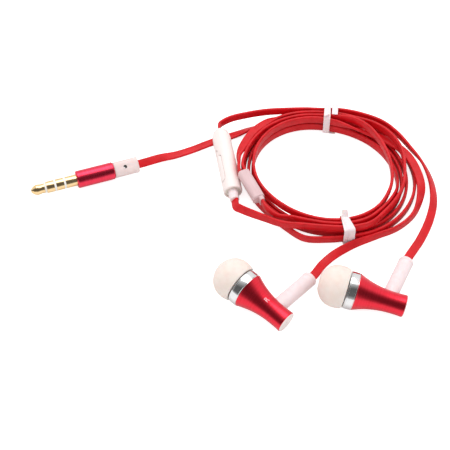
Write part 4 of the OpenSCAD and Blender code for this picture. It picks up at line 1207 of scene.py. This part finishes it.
def make_world():
    """White to the camera, soft to diffuse rays, and to mirrors dark where the camera is."""
    world = bpy.data.worlds.new("studio")
    tree = emptied(world)

    def arithmetic(operation, a, b):
        return add_node(tree, "Math", [a, b], operation=operation).outputs[0]

    def background(colour, strength=1.0):
        return add_node(tree, "Background", [colour, strength]).outputs[0]

    space = add_node(tree, "TexCoord").outputs["Generated"]
    way = add_node(tree, "SeparateXYZ", [space]).outputs
    angle = arithmetic("ARCTAN2", way["Z"], arithmetic("MULTIPLY", way["Y"], -1))
    ramp = add_node(tree, "ValToRGB", [arithmetic("DIVIDE", angle, pi)])
    while len(ramp.color_ramp.elements) < len(MIRRORED_SKY):
        ramp.color_ramp.elements.new(0.5)
    for stop, (place, value) in zip(ramp.color_ramp.elements, MIRRORED_SKY):
        stop.position = place / 180
        stop.color = (value, value, value, 1)
    white = background((1, 1, 1, 1))
    mirrored = background(ramp.outputs["Color"])
    seen = background((1, 1, 1, 1), SKY_FILL)
    rays = add_node(tree, "LightPath").outputs
    for kind, shade in (("Glossy", mirrored), ("Transmission", white), ("Camera", white)):
        feeds = [rays[f"Is {kind} Ray"], seen, shade]
        seen = add_node(tree, "MixShader", feeds).outputs[0]
    add_node(tree, "OutputWorld", {"Surface": seen})
    bpy.context.scene.world = world


def make_lights():
    data = bpy.data.lights.new("softbox", "AREA")
    data.shape = "RECTANGLE"
    data.size, data.size_y = SOFTBOX_SIZE
    data.energy = SOFTBOX_POWER
    lamp = new_object("softbox", data)
    up = radians(SOFTBOX_ANGLE)
    lamp.location = MIDDLE + SOFTBOX_AWAY * Vector((0, -cos(up), sin(up)))
    lamp.rotation_euler = (MIDDLE - lamp.location).to_track_quat("-Z", "Y").to_euler()


# ---- build
INNER_MATERIALS = {
    "nozzle": INNER, "driver_frame": INNER, "diaphragm": FILM, "voice_coil": COPPER,
    "inner_wires": COPPER, "magnet": STEEL, "yoke": STEEL, "cable_stop": STEEL,
    "terminal_board": BOARD, "plug_core": INSULATOR, "remote_board": BOARD,
    "remote_switch": BLACK, "remote_microphone": STEEL, "splitter_joint": BLACK}


def dress_inner_parts():
    """Gives the CAD parts that stay in use their materials."""
    for name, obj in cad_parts.items():
        material = INNER_MATERIALS.get(name.replace("right_", "").replace("left_", ""))
        if material:
            for slot in obj.material_slots:
                slot.material = material


make_camera()
dress_inner_parts()
earbud("right", RIGHT_BUD, "R", 170, "right_tip")
earbud("left", LEFT_BUD, "L", 0)
PLUG_PIECES = plug_pieces()
remote()
splitter()
top_tie()
bottom_tie()

flat_cord("main_cord", LEAD + COIL + TAIL, ("cord_lead", "cord_coil", "cord_tail"))
flat_cord("left_lower_cord", LEFT_LOWER, ("cord_left_lower",))
flat_cord("left_upper_cord", LEFT_UPPER, ("cord_left_upper",))
flat_cord("right_cord", RIGHT, ("cord_right",))

make_floor()
make_world()
make_lights()
bpy.context.scene.view_settings.view_transform = "Standard"
